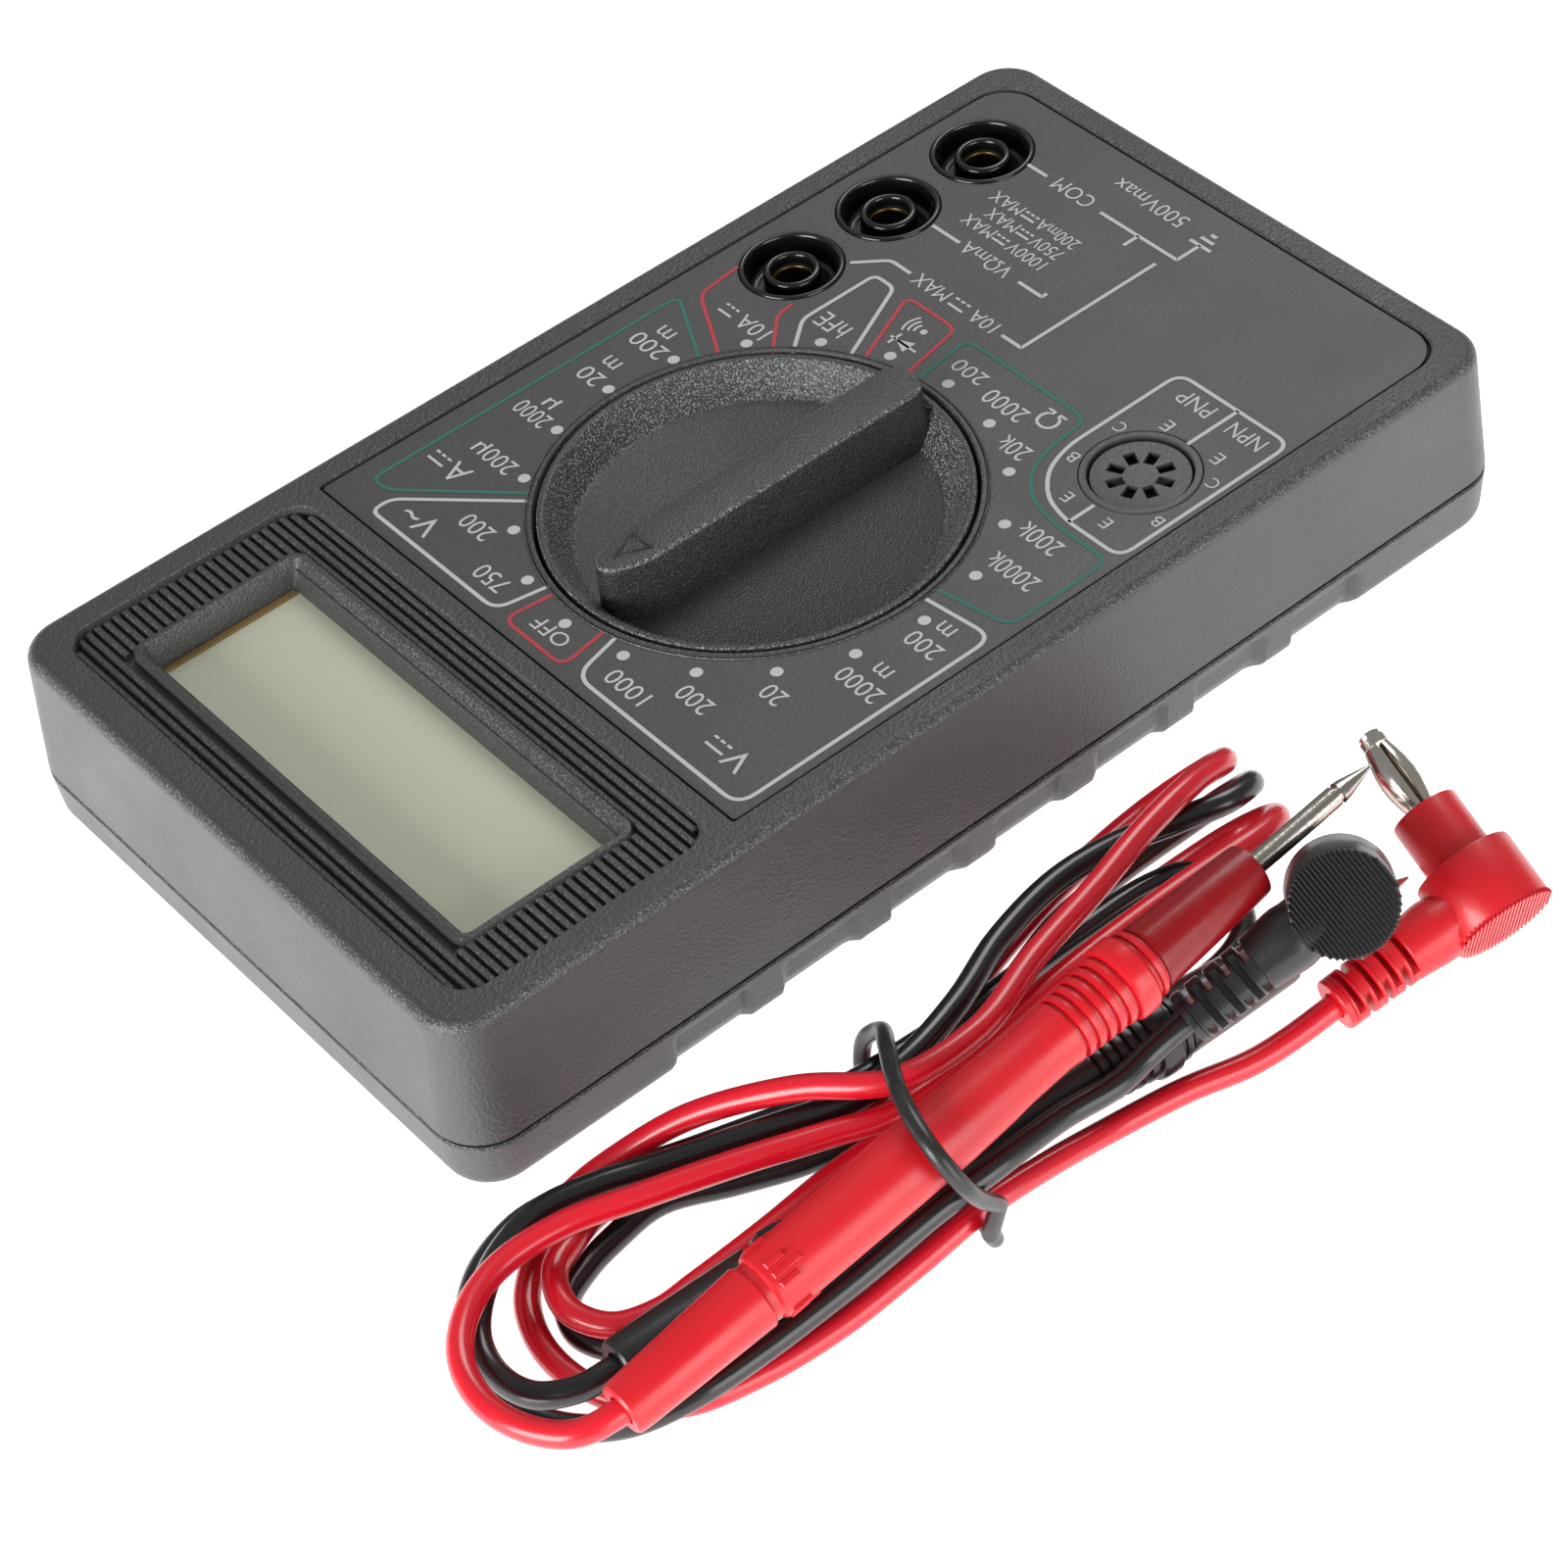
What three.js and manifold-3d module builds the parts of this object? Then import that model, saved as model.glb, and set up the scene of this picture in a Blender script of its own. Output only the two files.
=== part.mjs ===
// Pocket digital multimeter lying on its back, with its two test leads folded beside it.
// Millimetres, +Z up. The origin is under the middle of the case, on the surface it lies on.
// +Y is the display end, -Y the jack end, and the printing on the face reads along +X.

import * as THREE from "three";
import { mergeVertices } from "three/addons/utils/BufferGeometryUtils.js";
import Module from "manifold-3d";

const wasm = await Module();
wasm.setup();

// ---------------------------------------------------------------- driving dimensions

const GAP = 0.3; // clearance left between pieces that touch in the real object

// case
const CASE_W = 71;
const CASE_L = 126;
const CASE_H = 21; // floor to the raised face around the panel
const CASE_R = 5.2; // plan radius of the corners
const WALL = 2.0;
const FACE_T = 1.7; // thickness of the face under the label
const PART_Z = 6.6; // height of the parting line
const DRAFT = 1.0; // how far each side leans in from the parting line to the face
const EDGE_R = 1.2; // rounding of the top edges
const FOOT_R = 2.2; // rounding of the bottom edges
const FOOT_DRAFT = 0.6;
const PANEL_Z = 20.7; // top of the label

// label panel
const PANEL_W = 62.3;
const PANEL_Y0 = -58.7;
const PANEL_Y1 = 28.6;
const PANEL_T = 0.35;
const PANEL_R = 4;

// display
const BEZEL_W = 62.3;
const BEZEL_Y0 = 30.9;
const BEZEL_Y1 = 58.3;
const BEZEL_R = 3;
const BEZEL_RIB_Z = 20.35; // top of the ribs in the bezel
const BEZEL_FLOOR_Z = 19.6; // bottom of the grooves between them
const RIB_PITCH = 1.054;
const GROOVE_W = 0.42;
const FRAME_W = 51.8;
const FRAME_H = 19.4;
const WINDOW_W = 49.4;
const WINDOW_H = 15.6;
const WINDOW_Y = 44.7; // middle of the window
const LCD_Z = 17.3; // top of the display glass
const LCD_T = 2;

// selector
const DIAL_Y = 0.5;
const DIAL_R = 21.5; // outer radius of the collar around the knob
const DIAL_SIDES = 48;
const KNOB_R = 20.7;
const BOWL_R = 20;
const BOWL_FLOOR_R = 17.4;
const BOWL_FLOOR_Z = 17.7;
const KNOB_TOP_Z = 24;
const BAR_W = 5.2;
const BAR_FOOT_W = 6.8;
const BAR_TIP_Y = 18.3; // from the knob's axis to the tip of the pointer
const BAR_TAIL_Y = -19.7;
const FLANGE_R = 22.6;
const FLANGE_Z0 = 14.2;
const FLANGE_Z1 = 18;
const POSITIONS = 20;
const BALL_R = 1.2;
const BALL_X = 22.3; // how far out the balls press into the well's wall
const DETENT_Z = 15.9;

// jacks, in a line along the right-hand side
const JACK_X = 24.2;
const JACK_YS = { com: -49.2, vma: -36.6, "10a": -24 };
const JACK_R = 5.3;
const JACK_BORE_R = 2.1;
const JACK_CONTACT_Z1 = 18.1;
const JACK_SIDES = 20;

// transistor socket
const SOCKET_X = -23.2;
const SOCKET_Y = -26.8;
const SOCKET_R = 5.8;

// circuit board and what is on it
const BOARD_Z0 = 10.2;
const BOARD_Z1 = 11.8;
const COVER_SCREWS = [[-28.6, 27.6], [28.6, 27.6]];
const BOARD_SCREWS = [[-29, -17.5], [29, -12], [0, 28.6]];

// leads: a probe and a plug on each end of a thin cord, both cords folded into one bundle
const CORD_R = 1.2;
const CORD_SIDES = 8;
const CORD_STEPS = 76;
const PROBE_LENGTH = 86;
const HANDLE_LENGTH = 72;
const NEEDLE_R = 1;
const HEAD_R = 4.8; // round head of a plug
const HEAD_L = 6.8;
const SLEEVE_R = 3.2;
const SLEEVE_L = 5.9;
const RELIEF_L = 16.8; // from the head's axis to the end of the strain relief
const RELIEF_LEAN = THREE.MathUtils.degToRad(5); // how far the relief leans back from square
const RELIEF_BORE = 7; // how far the cord goes into the relief
const PIN_ROOT_R = 1.6;
const PIN_DEPTH = 5; // how far the pin's root sits in the sleeve
const PIN_L = 8.6;
const TIE_R = 0.9;

// ---------------------------------------------------------------- materials

function material(color, roughness, metalness) {
  return new THREE.MeshStandardMaterial({ color, roughness, metalness });
}

const GREY_ABS = material(0x4b4b4d, 0.62, 0);
const PANEL_GREY = material(0x5a5b5d, 0.45, 0);
const KNOB_BLACK = material(0x2c2c2e, 0.55, 0);
const GLOSS_BLACK = material(0x161617, 0.25, 0);
const LCD_GLASS = material(0xacb098, 0.15, 0);
const HOLDER_BLACK = material(0x202022, 0.6, 0);
const ZEBRA_PINK = material(0xb58d86, 0.8, 0);
const BOARD_GREEN = material(0x2b5a34, 0.5, 0);
const BRASS = material(0xb8964e, 0.3, 1);
const STEEL = material(0xb7b8ba, 0.3, 1);
const NICKEL = material(0xa7a095, 0.22, 1);
const BATTERY_BLUE = material(0x23364f, 0.4, 0.2);
const FUSE_GLASS = material(0xcfd4d2, 0.1, 0);
const EPOXY_BLACK = material(0x101010, 0.5, 0);
const RED_PVC = material(0xcf1b2b, 0.35, 0);
const BLACK_PVC = material(0x18191a, 0.35, 0);

// ---------------------------------------------------------------- shaping helpers

// A closed three.js geometry as a manifold solid, turned right side out.
function solid(geometry) {
  const bare = geometry.clone();
  bare.deleteAttribute("normal");
  bare.deleteAttribute("uv");
  const merged = mergeVertices(bare, 1e-4);
  const xyz = merged.attributes.position.array;
  const index = merged.index.array;
  const faces = [];
  let volume = 0;
  const [a, b, c] = [new THREE.Vector3(), new THREE.Vector3(), new THREE.Vector3()];
  for (let i = 0; i < index.length; i += 3) {
    const [p, q, r] = [index[i], index[i + 1], index[i + 2]];
    if (p === q || q === r || r === p) continue;
    faces.push([p, q, r]);
    volume += a.fromArray(xyz, 3 * p).dot(b.fromArray(xyz, 3 * q).cross(c.fromArray(xyz, 3 * r)));
  }
  const triangles = faces.flatMap(([p, q, r]) => (volume > 0 ? [p, q, r] : [p, r, q]));
  return new wasm.Manifold(
    new wasm.Mesh({
      numProp: 3,
      vertProperties: Float32Array.from(xyz),
      triVerts: Uint32Array.from(triangles),
    }),
  );
}

function geometryOf(manifold) {
  const result = manifold.getMesh();
  const geometry = new THREE.BufferGeometry();
  geometry.setAttribute("position", new THREE.BufferAttribute(result.vertProperties, 3));
  geometry.setIndex(new THREE.BufferAttribute(result.triVerts, 1));
  return geometry;
}

function named(name, manifold, mat) {
  const mesh = new THREE.Mesh(geometryOf(manifold), mat);
  mesh.name = name;
  return mesh;
}

// All the listed solids joined to, or cut from, the first.
const joined = (first, ...rest) => rest.reduce((sum, one) => sum.add(one), first);
const cut = (first, ...rest) => rest.reduce((left, one) => left.subtract(one), first);

function roundedRect(w, h, r, corners = [r, r, r, r]) {
  const [bl, br, tr, tl] = corners;
  const [x, y] = [w / 2, h / 2];
  const shape = new THREE.Shape();
  shape.moveTo(-x + bl, -y);
  shape.lineTo(x - br, -y);
  if (br) shape.absarc(x - br, -y + br, br, -Math.PI / 2, 0);
  shape.lineTo(x, y - tr);
  if (tr) shape.absarc(x - tr, y - tr, tr, 0, Math.PI / 2);
  shape.lineTo(-x + tl, y);
  if (tl) shape.absarc(-x + tl, y - tl, tl, Math.PI / 2, Math.PI);
  shape.lineTo(-x, -y + bl);
  if (bl) shape.absarc(-x + bl, -y + bl, bl, Math.PI, 1.5 * Math.PI);
  return shape;
}

// A shape in the XY plane extruded from z0 to z1.
function slab(shape, z0, z1, curveSegments = 5) {
  const geometry = new THREE.ExtrudeGeometry(shape, { depth: z1 - z0, bevelEnabled: false, curveSegments });
  return geometry.translate(0, 0, z0);
}

function slabAt(shape, x, y, z0, z1, curveSegments = 5) {
  return solid(slab(shape, z0, z1, curveSegments).translate(x, y, 0));
}

function box(x0, x1, y0, y1, z0, z1) {
  const geometry = new THREE.BoxGeometry(x1 - x0, y1 - y0, z1 - z0);
  return solid(geometry.translate((x0 + x1) / 2, (y0 + y1) / 2, (z0 + z1) / 2));
}

function cylinder(r, z0, z1, x = 0, y = 0, sides = 24) {
  const geometry = new THREE.CylinderGeometry(r, r, z1 - z0, sides).rotateX(Math.PI / 2);
  return solid(geometry.translate(x, y, (z0 + z1) / 2));
}

// A profile of [radius, height] points turned about +Z. It closes on itself or on the axis.
function turned(profile, sides, x = 0, y = 0) {
  const points = profile.map(([r, z]) => new THREE.Vector2(r, z));
  if (profile[0][0] > 0 || profile.at(-1)[0] > 0) points.push(points[0].clone());
  const geometry = new THREE.LatheGeometry(points, sides).rotateX(Math.PI / 2);
  return solid(geometry.translate(x, y, 0));
}

function ring(rIn, rOut, z0, z1, sides, x = 0, y = 0) {
  return turned([[rIn, z0], [rOut, z0], [rOut, z1], [rIn, z1]], sides, x, y);
}

// Moves each vertex in by an amount that grows with its height above z0.
function leanIn(geometry, z0, z1, inset) {
  const p = geometry.attributes.position;
  for (let i = 0; i < p.count; i += 1) {
    const t = THREE.MathUtils.clamp((p.getZ(i) - z0) / (z1 - z0), 0, 1);
    p.setX(i, p.getX(i) * (1 - (t * inset) / (CASE_W / 2)));
    p.setY(i, p.getY(i) * (1 - (t * inset) / (CASE_L / 2)));
  }
  return geometry;
}

// A round tube of the given radius along a smooth curve through the points.
function tube(points, radius, sides, steps) {
  const curve = new THREE.CatmullRomCurve3(points.map((p) => new THREE.Vector3(...p)), false, "centripetal");
  const section = new THREE.Shape();
  for (let i = 0; i < sides; i += 1) {
    const angle = (2 * Math.PI * i) / sides;
    section[i ? "lineTo" : "moveTo"](radius * Math.cos(angle), radius * Math.sin(angle));
  }
  return solid(new THREE.ExtrudeGeometry(section, { steps, extrudePath: curve }));
}

// ---------------------------------------------------------------- front shell

// A block with the case's plan, rounded at one end, leaning in towards that end.
function caseBlock(z0, z1, edge, inset, segments) {
  const shape = roundedRect(CASE_W, CASE_L, CASE_R);
  const geometry = new THREE.ExtrudeGeometry(shape, {
    depth: z1 - z0 - edge,
    bevelThickness: edge,
    bevelSize: edge,
    bevelOffset: -edge,
    bevelSegments: segments,
    curveSegments: 5,
  });
  return leanIn(geometry.translate(0, 0, z0), z0, z1, inset);
}

function frontOuter() {
  const upper = solid(caseBlock(PART_Z, CASE_H, EDGE_R, DRAFT, 3));
  return upper.subtract(box(-CASE_W, CASE_W, -CASE_L, CASE_L, PART_Z - CASE_H, PART_Z + GAP));
}

function frontCavity() {
  const shape = roundedRect(CASE_W - 2 * WALL, CASE_L - 2 * WALL, CASE_R - WALL);
  const geometry = slab(shape, PART_Z - 1, PANEL_Z - PANEL_T - GAP - FACE_T, 3);
  return solid(leanIn(geometry, PART_Z, CASE_H, DRAFT));
}

const BEZEL_Y = (BEZEL_Y0 + BEZEL_Y1) / 2;
const PANEL_Y = (PANEL_Y0 + PANEL_Y1) / 2;
const PANEL_FLOOR_Z = PANEL_Z - PANEL_T - GAP;
const FACE_UNDER_Z = PANEL_FLOOR_Z - FACE_T;

// The grooves between the ribs of the bezel, all along X, stopping short at the window frame.
function bezelGrooves() {
  const count = Math.floor((BEZEL_Y1 - BEZEL_Y0) / RIB_PITCH);
  const half = BEZEL_W / 2;
  const frameHalf = FRAME_W / 2;
  const grooves = [];
  for (let i = 0; i < count; i += 1) {
    const y = BEZEL_Y0 + RIB_PITCH * (i + 0.5);
    const [y0, y1] = [y - GROOVE_W / 2, y + GROOVE_W / 2];
    const fromEdge = Math.min(y0 - BEZEL_Y0, BEZEL_Y1 - y1);
    const inset = fromEdge < BEZEL_R ? BEZEL_R - Math.sqrt(BEZEL_R ** 2 - (BEZEL_R - fromEdge) ** 2) : 0;
    const end = half - inset - 0.1;
    if (Math.abs(y - WINDOW_Y) < FRAME_H / 2 + GROOVE_W) {
      grooves.push(box(-end, -frameHalf, y0, y1, BEZEL_FLOOR_Z, CASE_H));
      grooves.push(box(frameHalf, end, y0, y1, BEZEL_FLOOR_Z, CASE_H));
    } else {
      grooves.push(box(-end, end, y0, y1, BEZEL_FLOOR_Z, CASE_H));
    }
  }
  return grooves;
}

// The funnel of the smooth window frame: a rectangle that narrows from the top to the opening.
function windowFunnel() {
  const geometry = slab(roundedRect(1, 1, 0), 0, 1);
  const p = geometry.attributes.position;
  const [zLow, zHigh] = [PANEL_Z - 1.2, PANEL_Z + 0.1];
  for (let i = 0; i < p.count; i += 1) {
    const top = p.getZ(i) > 0.5;
    p.setX(i, p.getX(i) * (top ? FRAME_W - 1 : WINDOW_W));
    p.setY(i, p.getY(i) * (top ? FRAME_H - 1 : WINDOW_H));
    p.setZ(i, top ? zHigh : zLow);
  }
  return solid(geometry.translate(0, WINDOW_Y, 0));
}

// A ring of rounded notches that the detent balls ride over.
function detentRing(rIn, rOut, depth, z0, z1) {
  const shape = new THREE.Shape();
  shape.absarc(0, 0, rOut, 0, 2 * Math.PI);
  const hole = new THREE.Path();
  for (let i = 0; i < 2 * POSITIONS; i += 1) {
    const angle = (Math.PI * i) / POSITIONS;
    const r = i % 2 ? rIn : rIn + depth;
    hole[i ? "lineTo" : "moveTo"](r * Math.cos(angle), r * Math.sin(angle));
  }
  hole.closePath();
  shape.holes.push(hole);
  return slabAt(shape, 0, DIAL_Y, z0, z1, 20);
}

function boss([x, y], r, bore, z0) {
  return ring(bore, r, z0, FACE_UNDER_Z + 0.5, 12, x, y);
}

function frontShell() {
  const bezelRim = roundedRect(BEZEL_W, BEZEL_Y1 - BEZEL_Y0, BEZEL_R);
  const frame = roundedRect(FRAME_W, FRAME_H, 1.6);
  const throat = roundedRect(WINDOW_W + 2.4, WINDOW_H + 2.4, 0.4);
  const opening = roundedRect(WINDOW_W, WINDOW_H, 0.3);
  const panel =
    roundedRect(PANEL_W + 2 * GAP, PANEL_Y1 - PANEL_Y0 + 2 * GAP, 0, [PANEL_R, PANEL_R, 0.2, 0.2]);
  const recessed = cut(
    frontOuter(),
    frontCavity(),
    slabAt(panel, 0, PANEL_Y, PANEL_FLOOR_Z, CASE_H + 1),
    slabAt(bezelRim, 0, BEZEL_Y, BEZEL_RIB_Z, CASE_H + 1),
    ...bezelGrooves(),
  );
  const built = joined(
    recessed,
    slabAt(frame, 0, WINDOW_Y, BEZEL_FLOOR_Z - 0.5, PANEL_Z),
    slabAt(throat, 0, WINDOW_Y, LCD_Z + GAP, BEZEL_FLOOR_Z),
    ring(KNOB_R, DIAL_R, FACE_UNDER_Z, PANEL_Z + 0.25, DIAL_SIDES, 0, DIAL_Y),
    detentRing(24, 26.4, 0.5, FLANGE_Z0, FACE_UNDER_Z + 0.5),
    ...BOARD_SCREWS.map((at) => boss(at, 2.3, 0.9, BOARD_Z1 + GAP)),
    ...COVER_SCREWS.map((at) => boss(at, 2.8, 1.2, PART_Z + 0.5)),
  );
  const socketHole = cylinder(SOCKET_R + GAP, 10, CASE_H + 1, SOCKET_X, SOCKET_Y, 24);
  return cut(
    built,
    windowFunnel(),
    slabAt(opening, 0, WINDOW_Y, 10, CASE_H + 1),
    cylinder(KNOB_R + GAP, 15, CASE_H + 1, 0, DIAL_Y, DIAL_SIDES),
    ...Object.values(JACK_YS).map((y) => cylinder(JACK_R + GAP, 10, CASE_H + 1, JACK_X, y, JACK_SIDES)),
    socketHole,
  );
}

// ---------------------------------------------------------------- rear cover

const GRIP_PITCH = 12.5;
const GRIP_L = 8.4;
const GRIP_YS = [-3, -2, -1, 0, 1, 2, 3].map((i) => -1.1 + GRIP_PITCH * i);

function rearCover() {
  const flipped = caseBlock(0, PART_Z + FOOT_R, FOOT_R, 0, 3);
  flipped.rotateX(Math.PI).translate(0, 0, PART_Z + FOOT_R);
  const p = flipped.attributes.position;
  for (let i = 0; i < p.count; i += 1) {
    const t = THREE.MathUtils.clamp(1 - p.getZ(i) / PART_Z, 0, 1);
    p.setX(i, p.getX(i) * (1 - (t * FOOT_DRAFT) / (CASE_W / 2)));
    p.setY(i, p.getY(i) * (1 - (t * FOOT_DRAFT) / (CASE_L / 2)));
  }
  const inner = roundedRect(CASE_W - 2 * WALL - 1.4, CASE_L - 2 * WALL - 1.4, CASE_R - WALL);
  const lipInset = WALL + GAP + 0.15;
  const lip = roundedRect(CASE_W - 2 * lipInset, CASE_L - 2 * lipInset, CASE_R - WALL);
  const lipInner = roundedRect(CASE_W - 2 * WALL - 3, CASE_L - 2 * WALL - 3, CASE_R - WALL - 1);
  const shell = cut(
    solid(flipped),
    box(-CASE_W, CASE_W, -CASE_L, CASE_L, PART_Z, CASE_H),
    slabAt(inner, 0, 0, 1.7, CASE_H, 3),
  );
  const lipRing = slabAt(lip, 0, 0, PART_Z - 2.5, PART_Z + 1.5, 3).subtract(
    slabAt(lipInner, 0, 0, PART_Z - 3, PART_Z + 2, 3),
  );
  const posts = COVER_SCREWS.map(([x, y]) => cylinder(3.6, 1.2, PART_Z - 0.2, x, y, 16));
  const screwHoles = COVER_SCREWS.flatMap(([x, y]) => [
    cylinder(1.9, -1, CASE_H, x, y, 12),
    cylinder(3.0, -1, 2.6, x, y, 16),
  ]);
  const grips = GRIP_YS.flatMap((y) => [-1, 1].map((side) => gripPocket(side, y)));
  return cut(joined(shell, lipRing, ...posts), ...screwHoles, ...grips);
}

// A shallow scoop in the long side below the parting line, for the fingers.
function gripPocket(side, y) {
  const profile = new THREE.Shape();
  const outer = CASE_W / 2 + 1;
  profile.moveTo(outer, -1);
  profile.lineTo(outer, 5.2);
  profile.lineTo(CASE_W / 2 - 0.8, 5.2);
  profile.lineTo(CASE_W / 2 - 1.2, 2);
  profile.lineTo(CASE_W / 2 - 2.4, -1);
  const geometry = new THREE.ExtrudeGeometry(profile, { depth: GRIP_L, bevelEnabled: false });
  geometry.rotateX(Math.PI / 2).translate(0, y + GRIP_L / 2, 0);
  if (side < 0) geometry.rotateZ(Math.PI).translate(0, 2 * y, 0);
  return solid(geometry);
}

// ---------------------------------------------------------------- label, display, board

function labelPanel() {
  const shape = roundedRect(PANEL_W, PANEL_Y1 - PANEL_Y0, 0, [PANEL_R, PANEL_R, 0.2, 0.2]);
  return cut(
    slabAt(shape, 0, PANEL_Y, PANEL_Z - PANEL_T, PANEL_Z),
    cylinder(DIAL_R + GAP, 15, 25, 0, DIAL_Y, DIAL_SIDES),
    ...Object.values(JACK_YS).map((y) => cylinder(JACK_R + GAP, 15, 25, JACK_X, y, JACK_SIDES)),
    cylinder(SOCKET_R + GAP, 15, 25, SOCKET_X, SOCKET_Y, 24),
  );
}

const LCD_W = 54.5;
const LCD_H = 24;
const HOLDER_W = 59;
const HOLDER_H = 26.8;

function lcdGlass() {
  return slabAt(roundedRect(LCD_W, LCD_H, 0.4), 0, WINDOW_Y, LCD_Z - LCD_T, LCD_Z, 1);
}

function lcdHolder() {
  const [z0, z1] = [BOARD_Z1 + GAP, LCD_Z + 0.2];
  return cut(
    slabAt(roundedRect(HOLDER_W, HOLDER_H, 1), 0, WINDOW_Y, z0, z1, 2),
    slabAt(roundedRect(LCD_W + 2 * GAP, LCD_H + 2 * GAP, 0.4), 0, WINDOW_Y, LCD_Z - LCD_T - GAP, z1 + 1, 1),
    box(-24, 24, WINDOW_Y - 6, WINDOW_Y + 6, z0 - 1, z1 + 1),
    box(-26.3, 26.3, WINDOW_Y - 11.3, WINDOW_Y - 8.1, z0 - 1, z1 + 1),
  );
}

function zebraStrip() {
  return box(-26, 26, WINDOW_Y - 11, WINDOW_Y - 8.4, BOARD_Z1 + GAP, LCD_Z - LCD_T - GAP);
}

function circuitBoard() {
  const half = CASE_W / 2 - WALL - DRAFT - 1;
  const outline = new THREE.Shape();
  const corners = [
    [-half, -30.5], [17.3, -30.5], [17.3, -56.5], [half, -56.5],
    [half, 59.4], [-half, 59.4],
  ];
  corners.forEach(([x, y], i) => outline[i ? "lineTo" : "moveTo"](x, y));
  return cut(
    slabAt(outline, 0, 0, BOARD_Z0, BOARD_Z1),
    cylinder(3.6, 5, 15, 0, DIAL_Y, 20),
    ...BOARD_SCREWS.map(([x, y]) => cylinder(1.2, 5, 15, x, y, 12)),
    ...COVER_SCREWS.map(([x, y]) => cylinder(3.2, 5, 15, x, y, 16)),
    ...Object.values(JACK_YS).map((y) => cylinder(2.8 + GAP, 5, 15, JACK_X, y, 20)),
  );
}

// ---------------------------------------------------------------- jacks and socket

// A cup with a raised collar in the middle, its floor sunk below the face.
function jackSocket(y) {
  const top = PANEL_Z + 0.15;
  const over = JACK_CONTACT_Z1 + GAP;
  const profile = [
    [2.75, 12.4], [4.6, 12.4], [4.6, 17.7], [JACK_R, 17.7], [JACK_R, top], [4.8, top],
    [4.4, 17.6], [3.4, 17.3], [2.95, 19.4], [2.7, 19.8], [2.3, 19.6], [2.3, over], [2.75, over],
  ];
  return turned(profile, JACK_SIDES, JACK_X, y);
}

// The brass tube that the plug's pin goes into.
function jackContact(y) {
  return ring(JACK_BORE_R, 2.45, 8.4, JACK_CONTACT_Z1, JACK_SIDES, JACK_X, y);
}

function transistorSocket() {
  const body = turned(
    [[0, 12.2], [4.8, 12.2], [4.8, 17.6], [SOCKET_R, 17.6],
      [SOCKET_R, PANEL_Z], [5.5, PANEL_Z + 0.2], [0, PANEL_Z + 0.2]],
    24,
    SOCKET_X,
    SOCKET_Y,
  );
  const slots = [];
  for (let i = 0; i < 8; i += 1) {
    const slot = new THREE.BoxGeometry(2.1, 0.75, 6).translate(3.3, 0, PANEL_Z - 1.5);
    slot.rotateZ((Math.PI * (i + 0.5)) / 4).translate(SOCKET_X, SOCKET_Y, 0);
    slots.push(solid(slot));
  }
  return cut(body, ...slots);
}

// ---------------------------------------------------------------- battery, fuse and small parts

const BATTERY = { x0: -30.3, x1: 16.2, y0: -58.9, y1: -33.4, z0: 2, z1: 17.9 };

function battery() {
  const { x0, x1, y0, y1, z0, z1 } = BATTERY;
  const can = slabAt(roundedRect(x1 - x0 - 3, y1 - y0, 2), (x0 + x1) / 2 + 1.5, (y0 + y1) / 2, z0, z1, 3);
  const terminals = [[3.4, -6.4], [2.6, 6.4]].map(([r, offset]) => {
    const knob = new THREE.CylinderGeometry(r, r, 2.6, 10).rotateZ(Math.PI / 2);
    return solid(knob.translate(x0 + 1.9, (y0 + y1) / 2 + offset, (z0 + z1) / 2));
  });
  return joined(can, ...terminals);
}

function batterySnap() {
  const { x0, y0, y1, z0, z1 } = BATTERY;
  return box(x0 - 0.9, x0 + GAP, y0 + 2, y1 - 2, z0 + 1.5, z1 - 1.5);
}

const FUSE = { x: 3, y: -24.5, z: 6.6, length: 20, r: 2.55 };

function fuse() {
  const half = FUSE.length / 2;
  const points = [
    [0, -half], [FUSE.r, -half], [FUSE.r, -half + 5], [2.25, -half + 5], [2.25, half - 5],
    [FUSE.r, half - 5], [FUSE.r, half], [0, half],
  ].map(([r, z]) => new THREE.Vector2(r, z));
  const geometry = new THREE.LatheGeometry(points, 14).rotateZ(Math.PI / 2);
  return solid(geometry.translate(FUSE.x, FUSE.y, FUSE.z));
}

// A sprung U clip under the board, open downwards, around one end cap of the fuse.
function fuseClip(side) {
  const shape = new THREE.Shape();
  const [inner, outer] = [FUSE.r + GAP, FUSE.r + GAP + 0.5];
  shape.moveTo(-outer, -1.8);
  shape.lineTo(-inner, -1.8);
  shape.lineTo(-inner, inner);
  shape.lineTo(inner, inner);
  shape.lineTo(inner, -1.8);
  shape.lineTo(outer, -1.8);
  shape.lineTo(outer, outer - 0.1);
  shape.lineTo(-outer, outer - 0.1);
  const geometry = new THREE.ExtrudeGeometry(shape, { depth: 4, bevelEnabled: false });
  geometry.rotateX(Math.PI / 2).rotateZ(Math.PI / 2).translate(FUSE.x + side * 7.5 - 2, FUSE.y, FUSE.z);
  return solid(geometry);
}

function shuntWire() {
  const [x, y] = [12, -14];
  const low = BOARD_Z0 - 3.2;
  const points = [
    [x, y, BOARD_Z0 - GAP], [x, y, low + 1], [x + 1.2, y, low], [x + 8.8, y, low],
    [x + 10, y, low + 1], [x + 10, y, BOARD_Z0 - GAP],
  ];
  return tube(points, 0.75, 8, 14);
}

function chipBlob() {
  const half = [[0, BOARD_Z0 - GAP], [7, BOARD_Z0 - GAP],
    [6.6, BOARD_Z0 - 0.9], [4.4, BOARD_Z0 - 1.6], [0, BOARD_Z0 - 1.9]];
  return turned(half, 20, -14, 20);
}

function buzzerDisc() {
  return joined(
    cylinder(10, 2.0, 2.3, 12, 42, 28),
    cylinder(7.4, 2.3, 2.6, 12, 42, 24),
  );
}

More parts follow.
